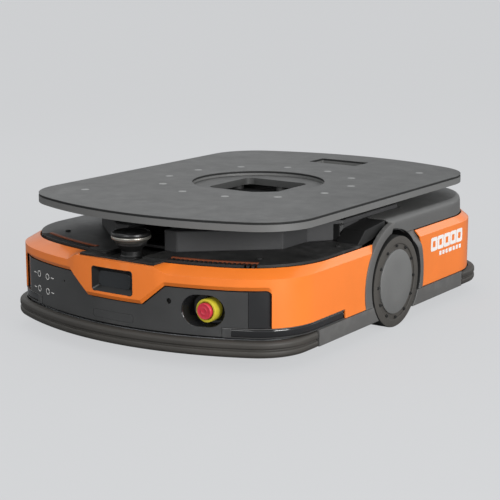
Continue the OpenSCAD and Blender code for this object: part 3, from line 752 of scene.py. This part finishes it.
def seam_cutter(x0, x1, z0, z1, r, width, depth):
    """Thin closed ring that cuts a shut line into the fascia."""
    loop = rounded(x0, x1, z0, z1, r, 6)
    outer = []
    for (ax, az), (bx, bz) in zip(loop, loop[1:] + loop[:1]):
        n = max(1, int(math.hypot(bx - ax, bz - az) / 8))
        outer += [(ax + (bx - ax) * i / n, az + (bz - az) * i / n) for i in range(n)]
    cx, cz = (x0 + x1) / 2, (z0 + z1) / 2
    inner = []
    for x, z in outer:
        at_end = abs(x - cx) > (x1 - x0) / 2 - r - 0.01
        inner.append((x - math.copysign(0.9 * width, x - cx) * at_end, z - math.copysign(width, z - cz)))
    edges = ((outer, -2), (inner, -2), (inner, depth), (outer, depth), (outer, -2))
    return grid([[on_front(x, z, d) for x, z in edge] for edge, d in edges], loop=True)


ESTOP_X = (low("estop_button")[0] + high("estop_button")[0]) / 2
ESTOP_Z = (low("estop_button")[2] + high("estop_button")[2]) / 2
ESTOP_FRONT = low("estop_button")[1]
BUTTONS = {name: ((low(name)[0] + high(name)[0]) / 2, (low(name)[2] + high(name)[2]) / 2)
           for name in ("start_button", "stop_button", "reset_button", "mode_button")}

fascia = piece("front_fascia_skin", fascia_skin(), FASCIA, bevel=0.5, solid=3.0, angle=14,
               replaces=("front_fascia",), outward=True)
POCKET_X = (low("estop_cup")[0] + high("estop_cup")[0]) / 2
POCKET_HALF = 9.5       # half the straight part of the pocket's outline
cutters = [along_y(stadium(29.5, POCKET_HALF), POCKET_X, ESTOP_Z),
           along_y(circle(5.2, 24), 114.5, 115),
           along_y(circle(2.0, 12), -132, 118)]
cutters += [along_y(circle(7.3, 32), x, z) for x, z in BUTTONS.values()]
cut(fascia, join(*cutters))
end_face = grid(fascia_rows([287.2, 284, 280, 274, 266, 259, END_FACE_X + 0.5]))
end_faces = join(flip(end_face, 1, -1), flip(end_face, -1, -1))
piece("fascia_end_faces", end_faces, FASCIA_END_SHADE, bevel=0.5, solid=3.0, angle=14,
      outward=True)
cut(fascia, seam_cutter(-52, 42, 65, 81, 5, 0.9, 0.7))

# dark sheet behind the fascia: painted shade, seen through its gaps and holes
gap_shade_sheet = [[on_front(x, z, 9, SHELL) for x in range(-284, 285, 8)] for z in (61, 90, 120, 140, 156)]
dark = piece("front_gap_shade_sheet", grid(gap_shade_sheet), BLACK_AND_SHADE, solid=1.0, outward=True)
cut(dark, along_y(stadium(31, POCKET_HALF), POCKET_X, ESTOP_Z))

# pocket of the emergency stop
POCKET_FLOOR_Y = -409
POCKET_WALL = ((29.3, POCKET_HALF, 0.4), (28.6, POCKET_HALF, 1.2), (28.0, 9.3, 4))
POCKET_FLOOR = ((26.8, 9, POCKET_FLOOR_Y - 1.5), (25.5, 8.6, POCKET_FLOOR_Y), (12, 2, POCKET_FLOOR_Y))
rows = [[on_front(x + POCKET_X, z + ESTOP_Z, depth) for x, z in stadium(r, half)]
        for r, half, depth in POCKET_WALL]
rows += [[(x + POCKET_X, y, z + ESTOP_Z) for x, z in stadium(r, half)] for r, half, y in POCKET_FLOOR]
piece("estop_pocket", grid(rows, loop=True), GLOSS_BLACK, solid=0.8, angle=40, replaces=("estop_cup",))
collar_front = low("estop_collar")[1]
ring_depth = high("estop_collar")[1] - collar_front
collar = revolve([(16.2, 0.7), (17, 0), (19.8, 0), (20.7, 0.5), (21, 1.4), (21, ring_depth),
                  (9, ring_depth), (9, 8.3), (16.2, 8.3)], 64, loop=True)
collar = [(x, z, y) for x, y, z in collar[0]], collar[1]
piece("estop_yellow_ring", move(collar, ESTOP_X, collar_front, ESTOP_Z), YELLOW, bevel=0.3, angle=35,
      replaces=("estop_collar",))
head = revolve([(0, 0.9), (5.2, 0.9), (5.9, 0.5), (6.6, 0.9), (11.2, 0.7), (12.9, 0.2), (13.5, 0),
                (14.2, 0.35), (14.8, 1.2), (15, 2.4), (14.9, 6.5), (14.2, 8.6), (12.5, 9.5), (9, 9.5),
                (8.4, 10), (8.4, 26), (0, 26)], 64)
head = [(x, z, y) for x, y, z in head[0]], head[1]
piece("estop_red_head", move(head, ESTOP_X, ESTOP_FRONT, ESTOP_Z), RED, "estop_button", angle=50,
      replaces=("estop_button",))


def front_rings(x, z, steps):
    """Surface of rings about a spot on the fascia, from (radius, depth) steps."""
    return grid([[on_front(px, pz, d) for px, pz in circle(r, 32, x, z)] for r, d in steps], loop=True)


# panel buttons: a flush cap that follows the fascia, with a printed ring
CAP_STEPS = ((0.01, -0.4), (3, -0.4), (6.2, -0.35), (6.8, 0.0), (6.9, 4), (0.01, 4))
RING_STEPS = ((4.7, -0.36), (4.8, -0.62), (6.0, -0.62), (6.1, -0.36), (4.7, -0.36))
for name, (x, z) in BUTTONS.items():
    piece(name + "_cap", front_rings(x, z, CAP_STEPS), FASCIA, name, angle=40, replaces=(name,))
    piece(name + "_ring", front_rings(x, z, RING_STEPS), WHITE, name, angle=50)


def mark(x0, x1, z0, z1, plan=FASCIA_PLAN, lift=0.25):
    """Thin printed bar that follows the front face."""
    outline = rounded(x0, x1, z0, z1, min(x1 - x0, z1 - z0) * 0.3, 3)
    front = [on_front(x, z, -lift, plan) for x, z in outline]
    back = [on_front(x, z, 0.2, plan) for x, z in outline]
    n = len(outline)
    faces = [tuple(range(n)), tuple(range(2 * n - 1, n - 1, -1))]
    faces += [(i, (i + 1) % n, (i + 1) % n + n, i + n) for i in range(n)]
    return front + back, faces


# a printed bar beside each button, on the side away from its neighbour
panel_x = sum(x for x, z in BUTTONS.values()) / len(BUTTONS)
marks = []
for x, z in BUTTONS.values():
    x0 = x - 21 if x < panel_x else x + 12
    marks.append(mark(x0, x0 + 9, z - 0.8, z + 0.8))
piece("panel_marks", join(*marks), WHITE, angle=50)

# camera window: a sunk frame round a flat pane
cam_low, cam_high = low("camera_window")[2], high("camera_window")[2]
cam_x, cam_z = high("camera_window")[0], (cam_low + cam_high) / 2
cam_h = (cam_high - cam_low) / 2 - 1.5
CHEVRON_PLAN = inset(SHELL, -proud(0))
window = rounded(-cam_x + 0.8, cam_x - 0.8, cam_z - cam_h + 0.8, cam_z + cam_h - 0.8, 5.5)
cut(front_shell, along_y(window))
rows = []
for t, depth, r in ((1.2, 3.5, 5), (0.4, -0.2, 6), (1.3, -0.4, 5.5), (2.2, 0.1, 5), (11, 8.0, 2.5),
                    (11.6, 8.7, 2), (12.4, 8.7, 2)):
    loop = rounded(-cam_x + t, cam_x - t, cam_z - cam_h + t * 0.85, cam_z + cam_h - t * 0.85, r, 6)
    rows.append([on_front(x, z, depth, CHEVRON_PLAN) for x, z in loop])
piece("camera_frame", grid(rows, loop=True), LIDAR_BLACK, bevel=0.3, angle=30, replaces=("camera_window",))
pane_x, pane_h = cam_x - 11, cam_h - 9.4
pane = mark(-pane_x, pane_x, cam_z - pane_h, cam_z + pane_h, inset(CHEVRON_PLAN, 8.6), 0.3)
piece("camera_pane", pane, LENS, bevel=0.4, angle=60)

# ---------- lip strips above the bumper ----------


def corner_path(plan, x_from, y_to, sx):
    """Plan path round a front corner, from the front at x_from back to the side at y_to."""
    s0, s1 = station(plan, x_from), side_station(plan, y_to)
    steps = [s1, s1 + (1 - s1) / 2] + [1 + i / 12 for i in range(13)]
    steps = [s for s in steps if s < s0] + [s0]
    if s0 > 2:
        steps = steps[:-1] + [2 + (s0 - 2) * i / 3 for i in range(1, 4)]
    points = [spot(plan, s) for s in steps]
    return [(x * sx, -y, nx * sx, -ny) for x, y, nx, ny in with_normals(points)]


for sx, side in SIDES:
    outer = inset(SHELL, 0.5)
    path = corner_path(outer, LIP_X + 1, LIP_END_Y + 1, sx)
    rails = join(sweep(path, [(0, 73.2), (0, 74.4), (0.6, 75), (4.5, 75), (4.5, 73.2)]),
                 sweep(path, [(0, 57.6), (0, 59.2), (4.5, 59.2), (4.5, 57.6)]),
                 sweep(path[-2:], [(0, 59), (0, 73.4), (4, 73.4), (4, 59)]))
    piece(f"lip_rails_{side}", rails, FASCIA, bevel=0.3, angle=50,
          replaces=("front_lips",) if sx > 0 else ())
    strip = sweep(corner_path(outer, LIP_X + 11, LIP_END_Y + 5, sx),
                  [(1.0, 60.4), (0.7, 63), (0.7, 69.5), (1.4, 72), (4, 72), (4, 60.4)])
    piece(f"lip_strip_{side}", strip, GLOSS_BLACK, bevel=0.3, angle=50)
    back = sweep(path, [(4, 58), (4, 74.6), (5.5, 74.6), (5.5, 58)])
    piece(f"lip_back_{side}", back, BLACK_AND_SHADE, angle=50)

# ---------- covers ----------

COVER_LIP = inset(RIM, 3)
HOUSE_X = 262.5
LIFT_X, LIFT_Y = high("lift_skirt")[0] + 4, high("lift_skirt")[1] + 4
NOTCH_X, NOTCH_Y = 42.0, 338.0
front_edge = [(x, -y) for x, y in quarter(COVER_LIP)[1:] if x > NOTCH_X + 2]
front_edge.append((NOTCH_X, -arc_y(COVER_LIP, NOTCH_X)))
half_plate = [(HOUSE_X, LIFT_Y), (HOUSE_X, -119), (COVER_LIP[0], -119)] + front_edge + [(NOTCH_X, -NOTCH_Y)]
plate = half_plate + [(-x, y) for x, y in reversed(half_plate)]
plate += [(-LIFT_X, LIFT_Y), (-LIFT_X, -LIFT_Y), (LIFT_X, -LIFT_Y), (LIFT_X, LIFT_Y)]
cover = piece("front_cover_plate", prism(plate, RIM_Z + 0.3, COVER_Z), COVER_BLACK, bevel=1.2, segments=3,
              replaces=("front_cover",))

TONGUE_X = 87.0
tongue_edge = inset(SHELL, 4.1)
tongue = [(TONGUE_X, -400)]
for x in (87, 70, 52, 35, 17, 0, -17, -35, -52, -70, -87):
    tongue.append((x, -arc_y(tongue_edge, x)))
tongue += [(-TONGUE_X, -400), (-NOTCH_X, -400), (-NOTCH_X, -456), (NOTCH_X, -456), (NOTCH_X, -400)]
piece("cover_tongue", prism(tongue, RIM_Z - 3, RIM_Z + 2), COVER_BLACK, bevel=0.8)

hump = [(NOTCH_X, -NOTCH_Y), (NOTCH_X, -369), (71, -369), (216, -239), (216, -156), (262, -100),
        (262, LIFT_Y)]
hump = hump + [(-x, y) for x, y in reversed(hump)]
hump += [(-LIFT_X, LIFT_Y), (-LIFT_X, -LIFT_Y), (LIFT_X, -LIFT_Y), (LIFT_X, LIFT_Y)]
HUMP_BLACK = material("hump_black", (0.036, 0.036, 0.037), 0.6, vary=0.14, bump=0.6, grain=700.0,
                      wear=0.2, wear_colour=(0.12, 0.12, 0.12), dust=0.05)
piece("front_cover_hump", prism(hump, COVER_Z - 0.5, HUMP_Z), HUMP_BLACK, bevel=2.5, segments=3)

tray_low = low("lidar_base")[2]
tray_y = -457.5
cut(front_shell, box(-TONGUE_X - 1, TONGUE_X + 1, -460, -400, RIM_Z - 12, RIM_Z + 8))
tray = join(box(-NOTCH_X - 2, NOTCH_X + 2, tray_y, -NOTCH_Y + 2, tray_low - 3, tray_low - 0.05),
            box(-NOTCH_X - 2, -NOTCH_X, tray_y, -NOTCH_Y + 2, tray_low - 1, RIM_Z - 0.2),
            box(NOTCH_X, NOTCH_X + 2, tray_y, -NOTCH_Y + 2, tray_low - 1, RIM_Z - 0.2),
            box(-NOTCH_X, NOTCH_X, tray_y, tray_y + 2, tray_low - 1, RIM_Z - 0.2))
piece("lidar_tray", tray, COVER_BLACK, bevel=0.4)

# cooling slot on each side of the lidar, with a comb of ribs and a lip behind it, painted as the orange in
# shade
VENT_R = RIM[2] - 9.5
VENT_Y = RIM[1] - RIM[2]
VENT_START, VENT_END = 8.4, 24.2     # degrees off the centre line
# Painted shade: a darkened copy of the shell's orange for the lip inside the slot.
SHADED_ORANGE = material("vent_lip", (0.2, 0.045, 0.012), 0.5, vary=0.15, bump=0.15)


def vent_arc(a0, a1, r0, r1, z0, z1, sx, n=12):
    """Curved bar between two angles (degrees off the centre line) and two radii."""
    def at(a, r):
        return sx * r * math.sin(math.radians(a)), -(VENT_Y + r * math.cos(math.radians(a)))
    ring = [at(a0 + (a1 - a0) * i / n, r1) for i in range(n + 1)]
    ring += [at(a1 - (a1 - a0) * i / n, r0) for i in range(n + 1)]
    return prism(ring, z0, z1)


slots = [vent_arc(VENT_START, VENT_END, VENT_R - 20, VENT_R + 5, RIM_Z - 6, COVER_Z + 4, sx)
         for sx in (1, -1)]
cut(cover, join(*slots))
for sx, side in SIDES:
    ribs = [vent_arc(a, a + 0.42, VENT_R - 12.5, VENT_R + 5.2, RIM_Z - 3, COVER_Z - 0.4, sx, 1)
            for a in (VENT_START + 0.5 + i * 0.85 for i in range(18))]
    piece(f"vent_ribs_{side}", join(*ribs), HOUSING_BLACK)
    lip = vent_arc(VENT_START, VENT_END, VENT_R - 20.2, VENT_R - 14, RIM_Z - 3, COVER_Z + 0.9, sx)
    piece(f"vent_lip_{side}", lip, SHADED_ORANGE, bevel=0.4)
    bottom = vent_arc(VENT_START - 0.2, VENT_END + 0.2, VENT_R - 20.5, VENT_R + 5.5,
                      RIM_Z - 5, RIM_Z - 3.5, sx)
    piece(f"vent_floor_{side}", bottom, BLACK_AND_SHADE)

# rear cover: leaning sides, rounded top edge, open above the front half
SPLIT_Y = -17.5
ROOF_EDGE = 11.0


def split_y(z):
    """Front end of the rear cover, which slants back down to the wheel opening."""
    return SPLIT_Y + 15 / 23 * min(23.0, max(0.0, ROOF_Z - 1 - z))


def lean(z):
    """Outline of the rear cover's side at a height."""
    t = min(1.0, max(0.0, (z - RIM_Z) / (ROOF_Z - ROOF_EDGE - RIM_Z)))
    return between(inset(REAR_RIM, 3), ROOF, t)


def rear_cover_skin():
    """Sides, rounded edge and roof of the rear cover."""
    stations = even_stations(24, 16, 16)
    rows = []
    for k in range(8):
        row = []
        for s in stations:
            y = spot(ROOF, s, split_y(ARCH_Z + ARCH_R))[1]
            arch = ARCH_Z + math.sqrt(max(0.0, (ARCH_R + 0.5) ** 2 - y * y)) if s < 1 else 0
            base = max(RIM_Z + 0.3, arch)
            if k < 5:
                z = base + (ROOF_Z - ROOF_EDGE - base) * k / 4
                x, y = spot(lean(z), s, split_y(z))
            else:
                turn = math.radians((k - 4) * 30)
                z = ROOF_Z - ROOF_EDGE + ROOF_EDGE * math.sin(turn)
                x, y = spot(inset(ROOF, 10 * (1 - math.cos(turn))), s, split_y(z))
            row.append((x, y, z))
        rows.append(mirrored_columns(row, 1))
    points, faces = grid(rows)
    inner_x, inner_y = 266.0, 120.0
    edge = rows[-1]
    loop = [(x, y) for x, y, z in edge] + [(-inner_x, SPLIT_Y), (-inner_x, inner_y), (inner_x, inner_y),
                                           (inner_x, SPLIT_Y)]
    tris = geometry.tessellate_polygon([[Vector((x, y, 0)) for x, y in loop]])
    start = len(points)
    points += [(x, y, ROOF_Z) for x, y in loop]
    faces += [tuple(i + start for i in t) for t in tris]
    return points, faces


piece("rear_cover_skin", rear_cover_skin(), COVER_GREY, bevel=0.6, solid=3.0, angle=32,
      replaces=("rear_cover",), outward=True)

# ---------- arch trims ----------

FRONT_TRIM_ENDS = (189.7, 209.2)        # heights where the front trim's inner and outer edges stop
TRIM_EDGE = ((0.0, 9.0), (0.0, 1.2), (0.35, 0.3), (1.2, 0.0))       # (distance from the edge, depth)
GAP_SHADE_SWEEP = 104


def trim_face(z, top_x):
    """Outer face of an arch trim, which leans in to meet the rear cover."""
    t = ease((z - 140) / 40)
    return FACE_X - 0.2 - (FACE_X - 0.2 - top_x) * t


def arch_trim(r_out, y_out, ends, sy, top_x, sx):
    """Crescent from the sill up to its end, between the wheel opening and an outer arc.

    ends gives the heights where the inner and outer edges stop."""
    rows = []
    n = 40
    edges = [(ARCH_EDGE + w, 0.0, ARCH_Z, ends[0], depth) for w, depth in TRIM_EDGE]
    edges += [(r_out - w, y_out, AXLE_Z, ends[1], depth) for w, depth in reversed(TRIM_EDGE)]
    for r, y0, z0, top, depth in edges:
        first = math.asin((SHELL_LOW_Z - z0) / r)
        last = math.asin(min(1.0, (top - z0) / r))
        row = []
        for i in range(n + 1):
            a = first + (last - first) * i / n
            z = z0 + r * math.sin(a)
            row.append((sx * (trim_face(z, top_x) - depth), sy * (y0 + r * math.cos(a)), z))
        rows.append(row)
    rows.append(rows[0])
    points, faces = grid(rows)
    m = n + 1
    for end in (0, n):
        faces.append(tuple(k * m + end for k in range(len(edges))))
    return points, faces


def arch_gap_shade(turn, x_end, sx):
    """Dark sleeve of painted shade behind the gap round the wheel, from an angle on over GAP_SHADE_SWEEP
    degrees.
    """
    outer = range(0, GAP_SHADE_SWEEP + 4, 4)
    inner = range(GAP_SHADE_SWEEP, -1, -4)
    ring = []
    for r, steps in ((ARCH_EDGE + 0.8, outer), (ARCH_EDGE - 0.5, inner)):
        for a in steps:
            a = math.radians(turn + a)
            ring.append((r * math.cos(a), r * math.sin(a)))
    points, faces = prism(ring, 256, x_end)
    return [(x * sx, -y, z + ARCH_Z) for y, z, x in points], faces


for sx, side in SIDES:
    ahead = arch_trim(TRIM_FRONT_R, 0, FRONT_TRIM_ENDS, -1, FACE_X - 0.2, sx)
    ahead = piece(f"front_arch_trim_{side}", ahead, SILL_GREY, angle=50,
                  replaces=("arch_trims",) if sx > 0 else ())
    behind = arch_trim(TRIM_REAR_R, TRIM_REAR_Y, (RIM_Z, RIM_Z), 1, ROOF[0] + 1.2, sx)
    behind = piece(f"rear_arch_trim_{side}", behind, SILL_GREY, angle=50)
    # painted shade: the trims' inner edges beside the wheel gap are painted black
    for trim in (ahead, behind):
        paint(trim, BLACK_AND_SHADE, lambda c, n: math.hypot(c.y, c.z - ARCH_Z) < ARCH_EDGE + 0.3)
    # dark sleeves behind the gaps round the wheels: painted shade
    for part, turn, x_end in (("front", 90, 319), ("rear", -17, 306)):
        piece(f"{part}_arch_gap_shade_{side}", arch_gap_shade(turn, x_end, sx), BLACK_AND_SHADE)

# ---------- lidar ----------

LIDAR_X = (low("lidar_window")[0] + high("lidar_window")[0]) / 2
LIDAR_Y = (low("lidar_window")[1] + high("lidar_window")[1]) / 2
LIDAR_TOP = high("lidar_window")[2]
BRONZE = material("lidar_band", (0.5, 0.48, 0.43), 0.3, 0.9, vary=0.1, bump=0.1)
LIDAR_GREY = material("lidar_grey", (0.007, 0.007, 0.007), 0.4, vary=0.1, bump=0.1)


def at_lidar(profile, z):
    """Turned form on the lidar's axis, its heights measured from z."""
    return move(revolve(profile, 72), LIDAR_X, LIDAR_Y, z)


foot = at_lidar([(0, 0), (24, 0), (24, 2), (23, 3), (20, 4.5), (18.6, 7), (18.6, 14), (20.5, 17), (25.5, 22),
                 (27.6, 26.2), (0, 26.2)], low("lidar_base")[2])
collar = at_lidar([(27.0, -23.6), (27.8, -23.6), (29.2, -19.4), (27.2, -19.4), (27.0, -23.6)], LIDAR_TOP)
band = at_lidar([(27.4, -19.2), (29.0, -19.2), (33.6, -14.6), (35.8, -13.4), (36.4, -11.6), (36.4, -9.4),
                 (35.8, -8.4), (34, -8.2)], LIDAR_TOP)
cap = at_lidar([(34.2, -8.3), (35.2, -8.1), (35.7, -5.4), (35.4, -3.6), (34.6, -1.9), (32.4, -0.7),
                (30.6, -0.3), (29.6, -1.4), (26, -2.0), (0, -1.8)], LIDAR_TOP)
piece("lidar_foot", foot, LIDAR_GREY, bevel=0.3, angle=25, replaces=("lidar_base",))
piece("lidar_collar", collar, COVER_BLACK)
piece("lidar_band", band, BRONZE, bevel=0.3, angle=30, replaces=("lidar_window",))
piece("lidar_cap", cap, LIDAR_BLACK, angle=32)

# ---------- wheels ----------

HUB_BOLT_R = 70.8


def wheel(sx, side):
    """Tyre, rim, hub plate and hub bolts of one drive wheel."""
    body = f"{side}_wheel"
    inner = low("right_tyre")[0]
    face = high("right_hub_cap")[0]
    outer = face - 1.4
    radius = (high("right_tyre")[2] - low("right_tyre")[2]) / 2
    core = 74.0             # radius of the rim under the tyre
    profile = [(core + 0.1, inner + 1), (core + 2, inner), (radius - 7, inner), (radius - 2.2, inner + 1.6),
               (radius, inner + 5)]
    for i in range(4):
        x = inner + 11 + i * 11
        profile += [(radius, x - 1.6), (radius - 1.6, x - 0.8), (radius - 1.6, x + 0.8), (radius, x + 1.6)]
    profile += [(radius, outer - 3), (radius - 0.3, outer - 1.3), (radius - 1, outer - 0.4),
                (radius - 2.2, outer), (core + 1.6, outer), (core + 0.1, outer - 1.2)]
    tyre = flip(along_x(revolve(profile, 128, loop=True), 0, 0, AXLE_Z), sx)
    tyre = piece(f"{side}_tyre_ring", tyre, TYRE, body, angle=24, replaces=(f"{side}_tyre",))
    # painted shade: the tread and the tyre's inner side are painted near black, for the shade inside the
    # arch
    paint(tyre, TREAD_SHADE, lambda c, n: abs(c.x) < outer - 0.3 and math.hypot(c.y, c.z - AXLE_Z) > core + 4)
    keep_node(f"{side}_rim", TYRE, 0.8)
    plate = [(0, face - 0.5), (30, face - 0.5), (61.4, face - 0.5), (62.6, face - 0.9), (63.2, face - 1.6),
             (63.2, outer - 3), (0, outer - 1)]
    hub = flip(along_x(revolve(plate, 128), 0, 0, AXLE_Z), sx)
    piece(f"{side}_hub_plate", hub, HUB_GREY, body, angle=30, replaces=(f"{side}_hub_cap",))
    head = revolve([(0, 0), (3.2, 0), (3.1, 1.3), (2.5, 1.9), (1.5, 1.9), (1.5, 0.6), (0, 0.6)], 16)
    bolts = [along_x(head, outer - 1, y, AXLE_Z + z) for y, z in circle(HUB_BOLT_R, 12)]
    piece(f"{side}_hub_bolts", flip(join(*bolts), sx), BLACK_AND_SHADE, body, angle=40)


# ---------- fleet markings ----------

BLOCK, BLOCK_PITCH = 27, 28.6           # length of a hollow block and its spacing along the side
BLOCK_Z = (123, 151)
BAR_Z = (109.5, 118)
BAR_WIDTHS = (9, 9, 9, 14, 9, 9, 9)


def side_plate(outline, holes, sx):
    """Thin plate on the side of the shell, from (y, z) outlines."""
    points, faces = prism(outline, SHELL[0] - 0.3, SHELL[0] + 0.25, holes)
    return [(x * sx, y, z) for y, z, x in points], faces


for sx, side in SIDES:
    shapes = []
    for i in range(5):
        y = 144 + i * BLOCK_PITCH
        hole = rounded(y + 7.5, y + BLOCK - 7.5, BLOCK_Z[0] + 7.5, BLOCK_Z[1] - 7.5, 1.6)
        shapes.append(side_plate(rounded(y, y + BLOCK, *BLOCK_Z, 4), [hole], sx))
    y = 182.0
    for width in BAR_WIDTHS:
        shapes.append(side_plate(rounded(y, y + width, *BAR_Z, 1.2), [], sx))
        y += width + 5
    piece(f"fleet_marks_{side}", join(*shapes), WHITE, angle=50)

# ---------- deck details ----------

BOLT_CIRCLE_R = 196
LOCATORS = [(-222, -280), (222, 280)]
socket = revolve([(0, -0.5), (8, -0.5), (8, 0.1), (7.6, 0.3), (5, 0.3), (4.6, 0.05), (0, 0.05)], 32)
places = circle(BOLT_CIRCLE_R, 12, turn=math.radians(15)) + LOCATORS
sockets = [move(socket, x, y, DECK_TOP) for x, y in places]
PLUG = material("socket_plug", (0.27, 0.27, 0.265), 0.5, vary=0.08, bump=0.2)
piece("deck_socket_plugs", join(*sockets), PLUG, "deck", angle=35)

TABLE_LOW = DECK_LOW - 6
well = rounded(-75, 75, -75, 75, 16, 8)
lifts = [prism(circle(212, 96), TABLE_LOW, DECK_LOW - 0.05, [well])]
raised = prism(circle(OPENING_R - 0.6, 128), DECK_LOW - 0.5, high("lift_table")[2], [well])
piece("lift_table_step", raised, DECK_GREY, "deck", bevel=1.2, segments=3)


def bush(x, y, z, r):
    """Guide bush or lead-screw nut that hangs from the lift table down to z."""
    profile = [(8.1, z), (r - 1, z), (r, z + 1), (r, TABLE_LOW), (8.1, TABLE_LOW)]
    return move(revolve(profile, 32, loop=True), x, y)


for sy in (-1, 1):
    lifts += [bush(-112, 88 * sy, 150, 13), bush(112, 88 * sy, 150, 13), bush(0, 90 * sy, 120, 12.5)]
piece("lift_table_ring", join(*lifts), DECK_GREY, "deck", bevel=1.0, segments=3,
      replaces=("lift_table",))

# ---------- CAD nodes that keep their shape ----------


def keep_node(node, mat, width):
    """Gives a CAD node its material and rounds its edges with modifiers."""
    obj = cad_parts[node]
    obj.data.materials.clear()
    obj.data.materials.append(mat)
    mod = obj.modifiers.new("weld", "WELD")
    mod.merge_threshold = 0.02 * MM
    round_edges(obj, width, 2, 32)


# material and edge radius
KEPT = {
    "base_frame": (FRAME_GREY, 1.0),
    "wheel_housings": (HOUSING_BLACK, 1.2),
    "side_sills": (SILL_GREY, 1.5),
    "bumper_beams": (ZINC, 0.5),
    "caster_mounts": (ZINC, 0.6),
    "camera_well": (COVER_BLACK, 0.6),
    "lift_motors": (CASE, 1.0),
    "battery_pack": (BATTERY, 3.0),
    "control_box": (CASE, 1.0),
    "deck_camera": (COVER_BLACK, 0.8),
    "charge_contacts": (COPPER, 0.8),
    "lift_posts": (STEEL, 0.5),
    "drive_posts": (STEEL, 0.5),
    "cover_screws": (BLACK_AND_SHADE, 0.3),
    "lift_skirt": (COVER_BLACK, 0.6),
    "front_lift_screw": (STEEL, 0.4),
    "rear_lift_screw": (STEEL, 0.4),
    "lidar_rotor": (CASE, 0.4),
    "deck_inserts": (SCREW, 0.4),
}
for node, (mat, width) in KEPT.items():
    keep_node(node, mat, width)
for side in ("left", "right"):
    keep_node(f"{side}_carriage", ZINC, 0.8)
    keep_node(f"{side}_motor", CASE, 0.8)
    for end in ("front", "rear"):
        keep_node(f"{end}_{side}_fork", ZINC, 0.6)
        keep_node(f"{end}_{side}_caster", TYRE, 1.0)

for sx, side in SIDES:
    wheel(sx, side)

# ---------- drive springs ----------

SPRING_FOLDS = 8


def spring_stacks(side):
    """Two stacks of disc springs between the chassis and the drive unit."""
    lowest, highest = low(f"{side}_springs"), high(f"{side}_springs")
    r = (highest[0] - lowest[0]) / 2
    bottom, top = lowest[2], highest[2]
    leaves = 2 * SPRING_FOLDS
    line = [(r - 2.7 * (i % 2 == 0), bottom + (top - bottom) * i / leaves) for i in range(leaves + 1)]
    stack = revolve(line + [(a - 1.6, z) for a, z in reversed(line)], 48, loop=True)
    stacks = join(*[move(stack, lowest[0] + r, sy * (highest[1] - r)) for sy in (-1, 1)])
    obj = piece(f"{side}_spring_stacks", stacks, STEEL, None, angle=20, replaces=(f"{side}_springs",))
    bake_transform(obj)


for sx, side in SIDES:
    spring_stacks(side)

# ---------- floor, light and camera ----------

bm = bmesh.new()
bmesh.ops.create_grid(bm, x_segments=8, y_segments=8, size=30.0)
floor = object_from("floor", bm)
floor.location.z = -0.0005
floor_mat = material("studio_floor", (0.66, 0.672, 0.678), 0.95, vary=0.005, bump=0.02)
# the camera sees an even pale floor, and the pieces get a darker one's bounce
floor_nodes, floor_links = floor_mat.node_tree.nodes, floor_mat.node_tree.links
ray = floor_nodes.new("ShaderNodeLightPath")
dim = floor_nodes.new("ShaderNodeBsdfDiffuse")
dim.inputs["Color"].default_value = (0.22, 0.225, 0.23, 1.0)
choose = floor_nodes.new("ShaderNodeMixShader")
floor_links.new(ray.outputs["Is Camera Ray"], choose.inputs["Fac"])
floor_links.new(dim.outputs["BSDF"], choose.inputs[1])
glow = floor_nodes.new("ShaderNodeEmission")
glow.inputs["Color"].default_value = (0.648, 0.655, 0.668, 1.0)
even = floor_nodes.new("ShaderNodeMixShader")
even.inputs["Fac"].default_value = 0.85
floor_links.new(floor_nodes["Principled BSDF"].outputs["BSDF"], even.inputs[1])
floor_links.new(glow.outputs["Emission"], even.inputs[2])
floor_links.new(even.outputs["Shader"], choose.inputs[2])
floor_links.new(choose.outputs["Shader"], floor_nodes["Material Output"].inputs["Surface"])
floor.data.materials.append(floor_mat)

world = bpy.data.worlds.new("studio")
bpy.context.scene.world = world
world.use_nodes = True
world.node_tree.nodes["Background"].inputs["Color"].default_value = (0.8, 0.82, 0.83, 1)
world.node_tree.nodes["Background"].inputs["Strength"].default_value = 0.8


def area_light(name, place, target, size, power):
    """Soft rectangular light at a place in metres, aimed at a target."""
    data = bpy.data.lights.new(name, "AREA")
    data.shape = "RECTANGLE"
    data.size, data.size_y = size
    data.energy = power
    obj = add_object(name, data)
    obj.location = place
    aim = Vector(target) - Vector(place)
    obj.rotation_euler = aim.to_track_quat("-Z", "Y").to_euler()


area_light("key", (3.6, -1.3, 1.1), (0, 0, 0.1), (1.6, 1.4), 108)
area_light("fill", (0.7, -3.6, 1.3), (0, 0, 0.1), (1.8, 1.4), 26)
area_light("rear", (2.4, 3.2, 0.7), (0.2, 0, 0.12), (1.8, 1.2), 11)
area_light("top", (-1.5, 1.3, 2.1), (0, 0, 0.2), (2.0, 2.0), 9)

camera_data = bpy.data.cameras.new("camera")
camera_data.lens = 101.25
camera_data.sensor_width = 36.0
camera = add_object("camera", camera_data)
camera.location = Vector((1586.7, -2352.6, 714.6)) * MM
view_line = Vector((-27.0, 9.5, 109.0)) * MM - camera.location
camera.rotation_euler = view_line.to_track_quat("-Z", "Y").to_euler()
bpy.context.scene.camera = camera
bpy.context.scene.view_settings.view_transform = "Standard"
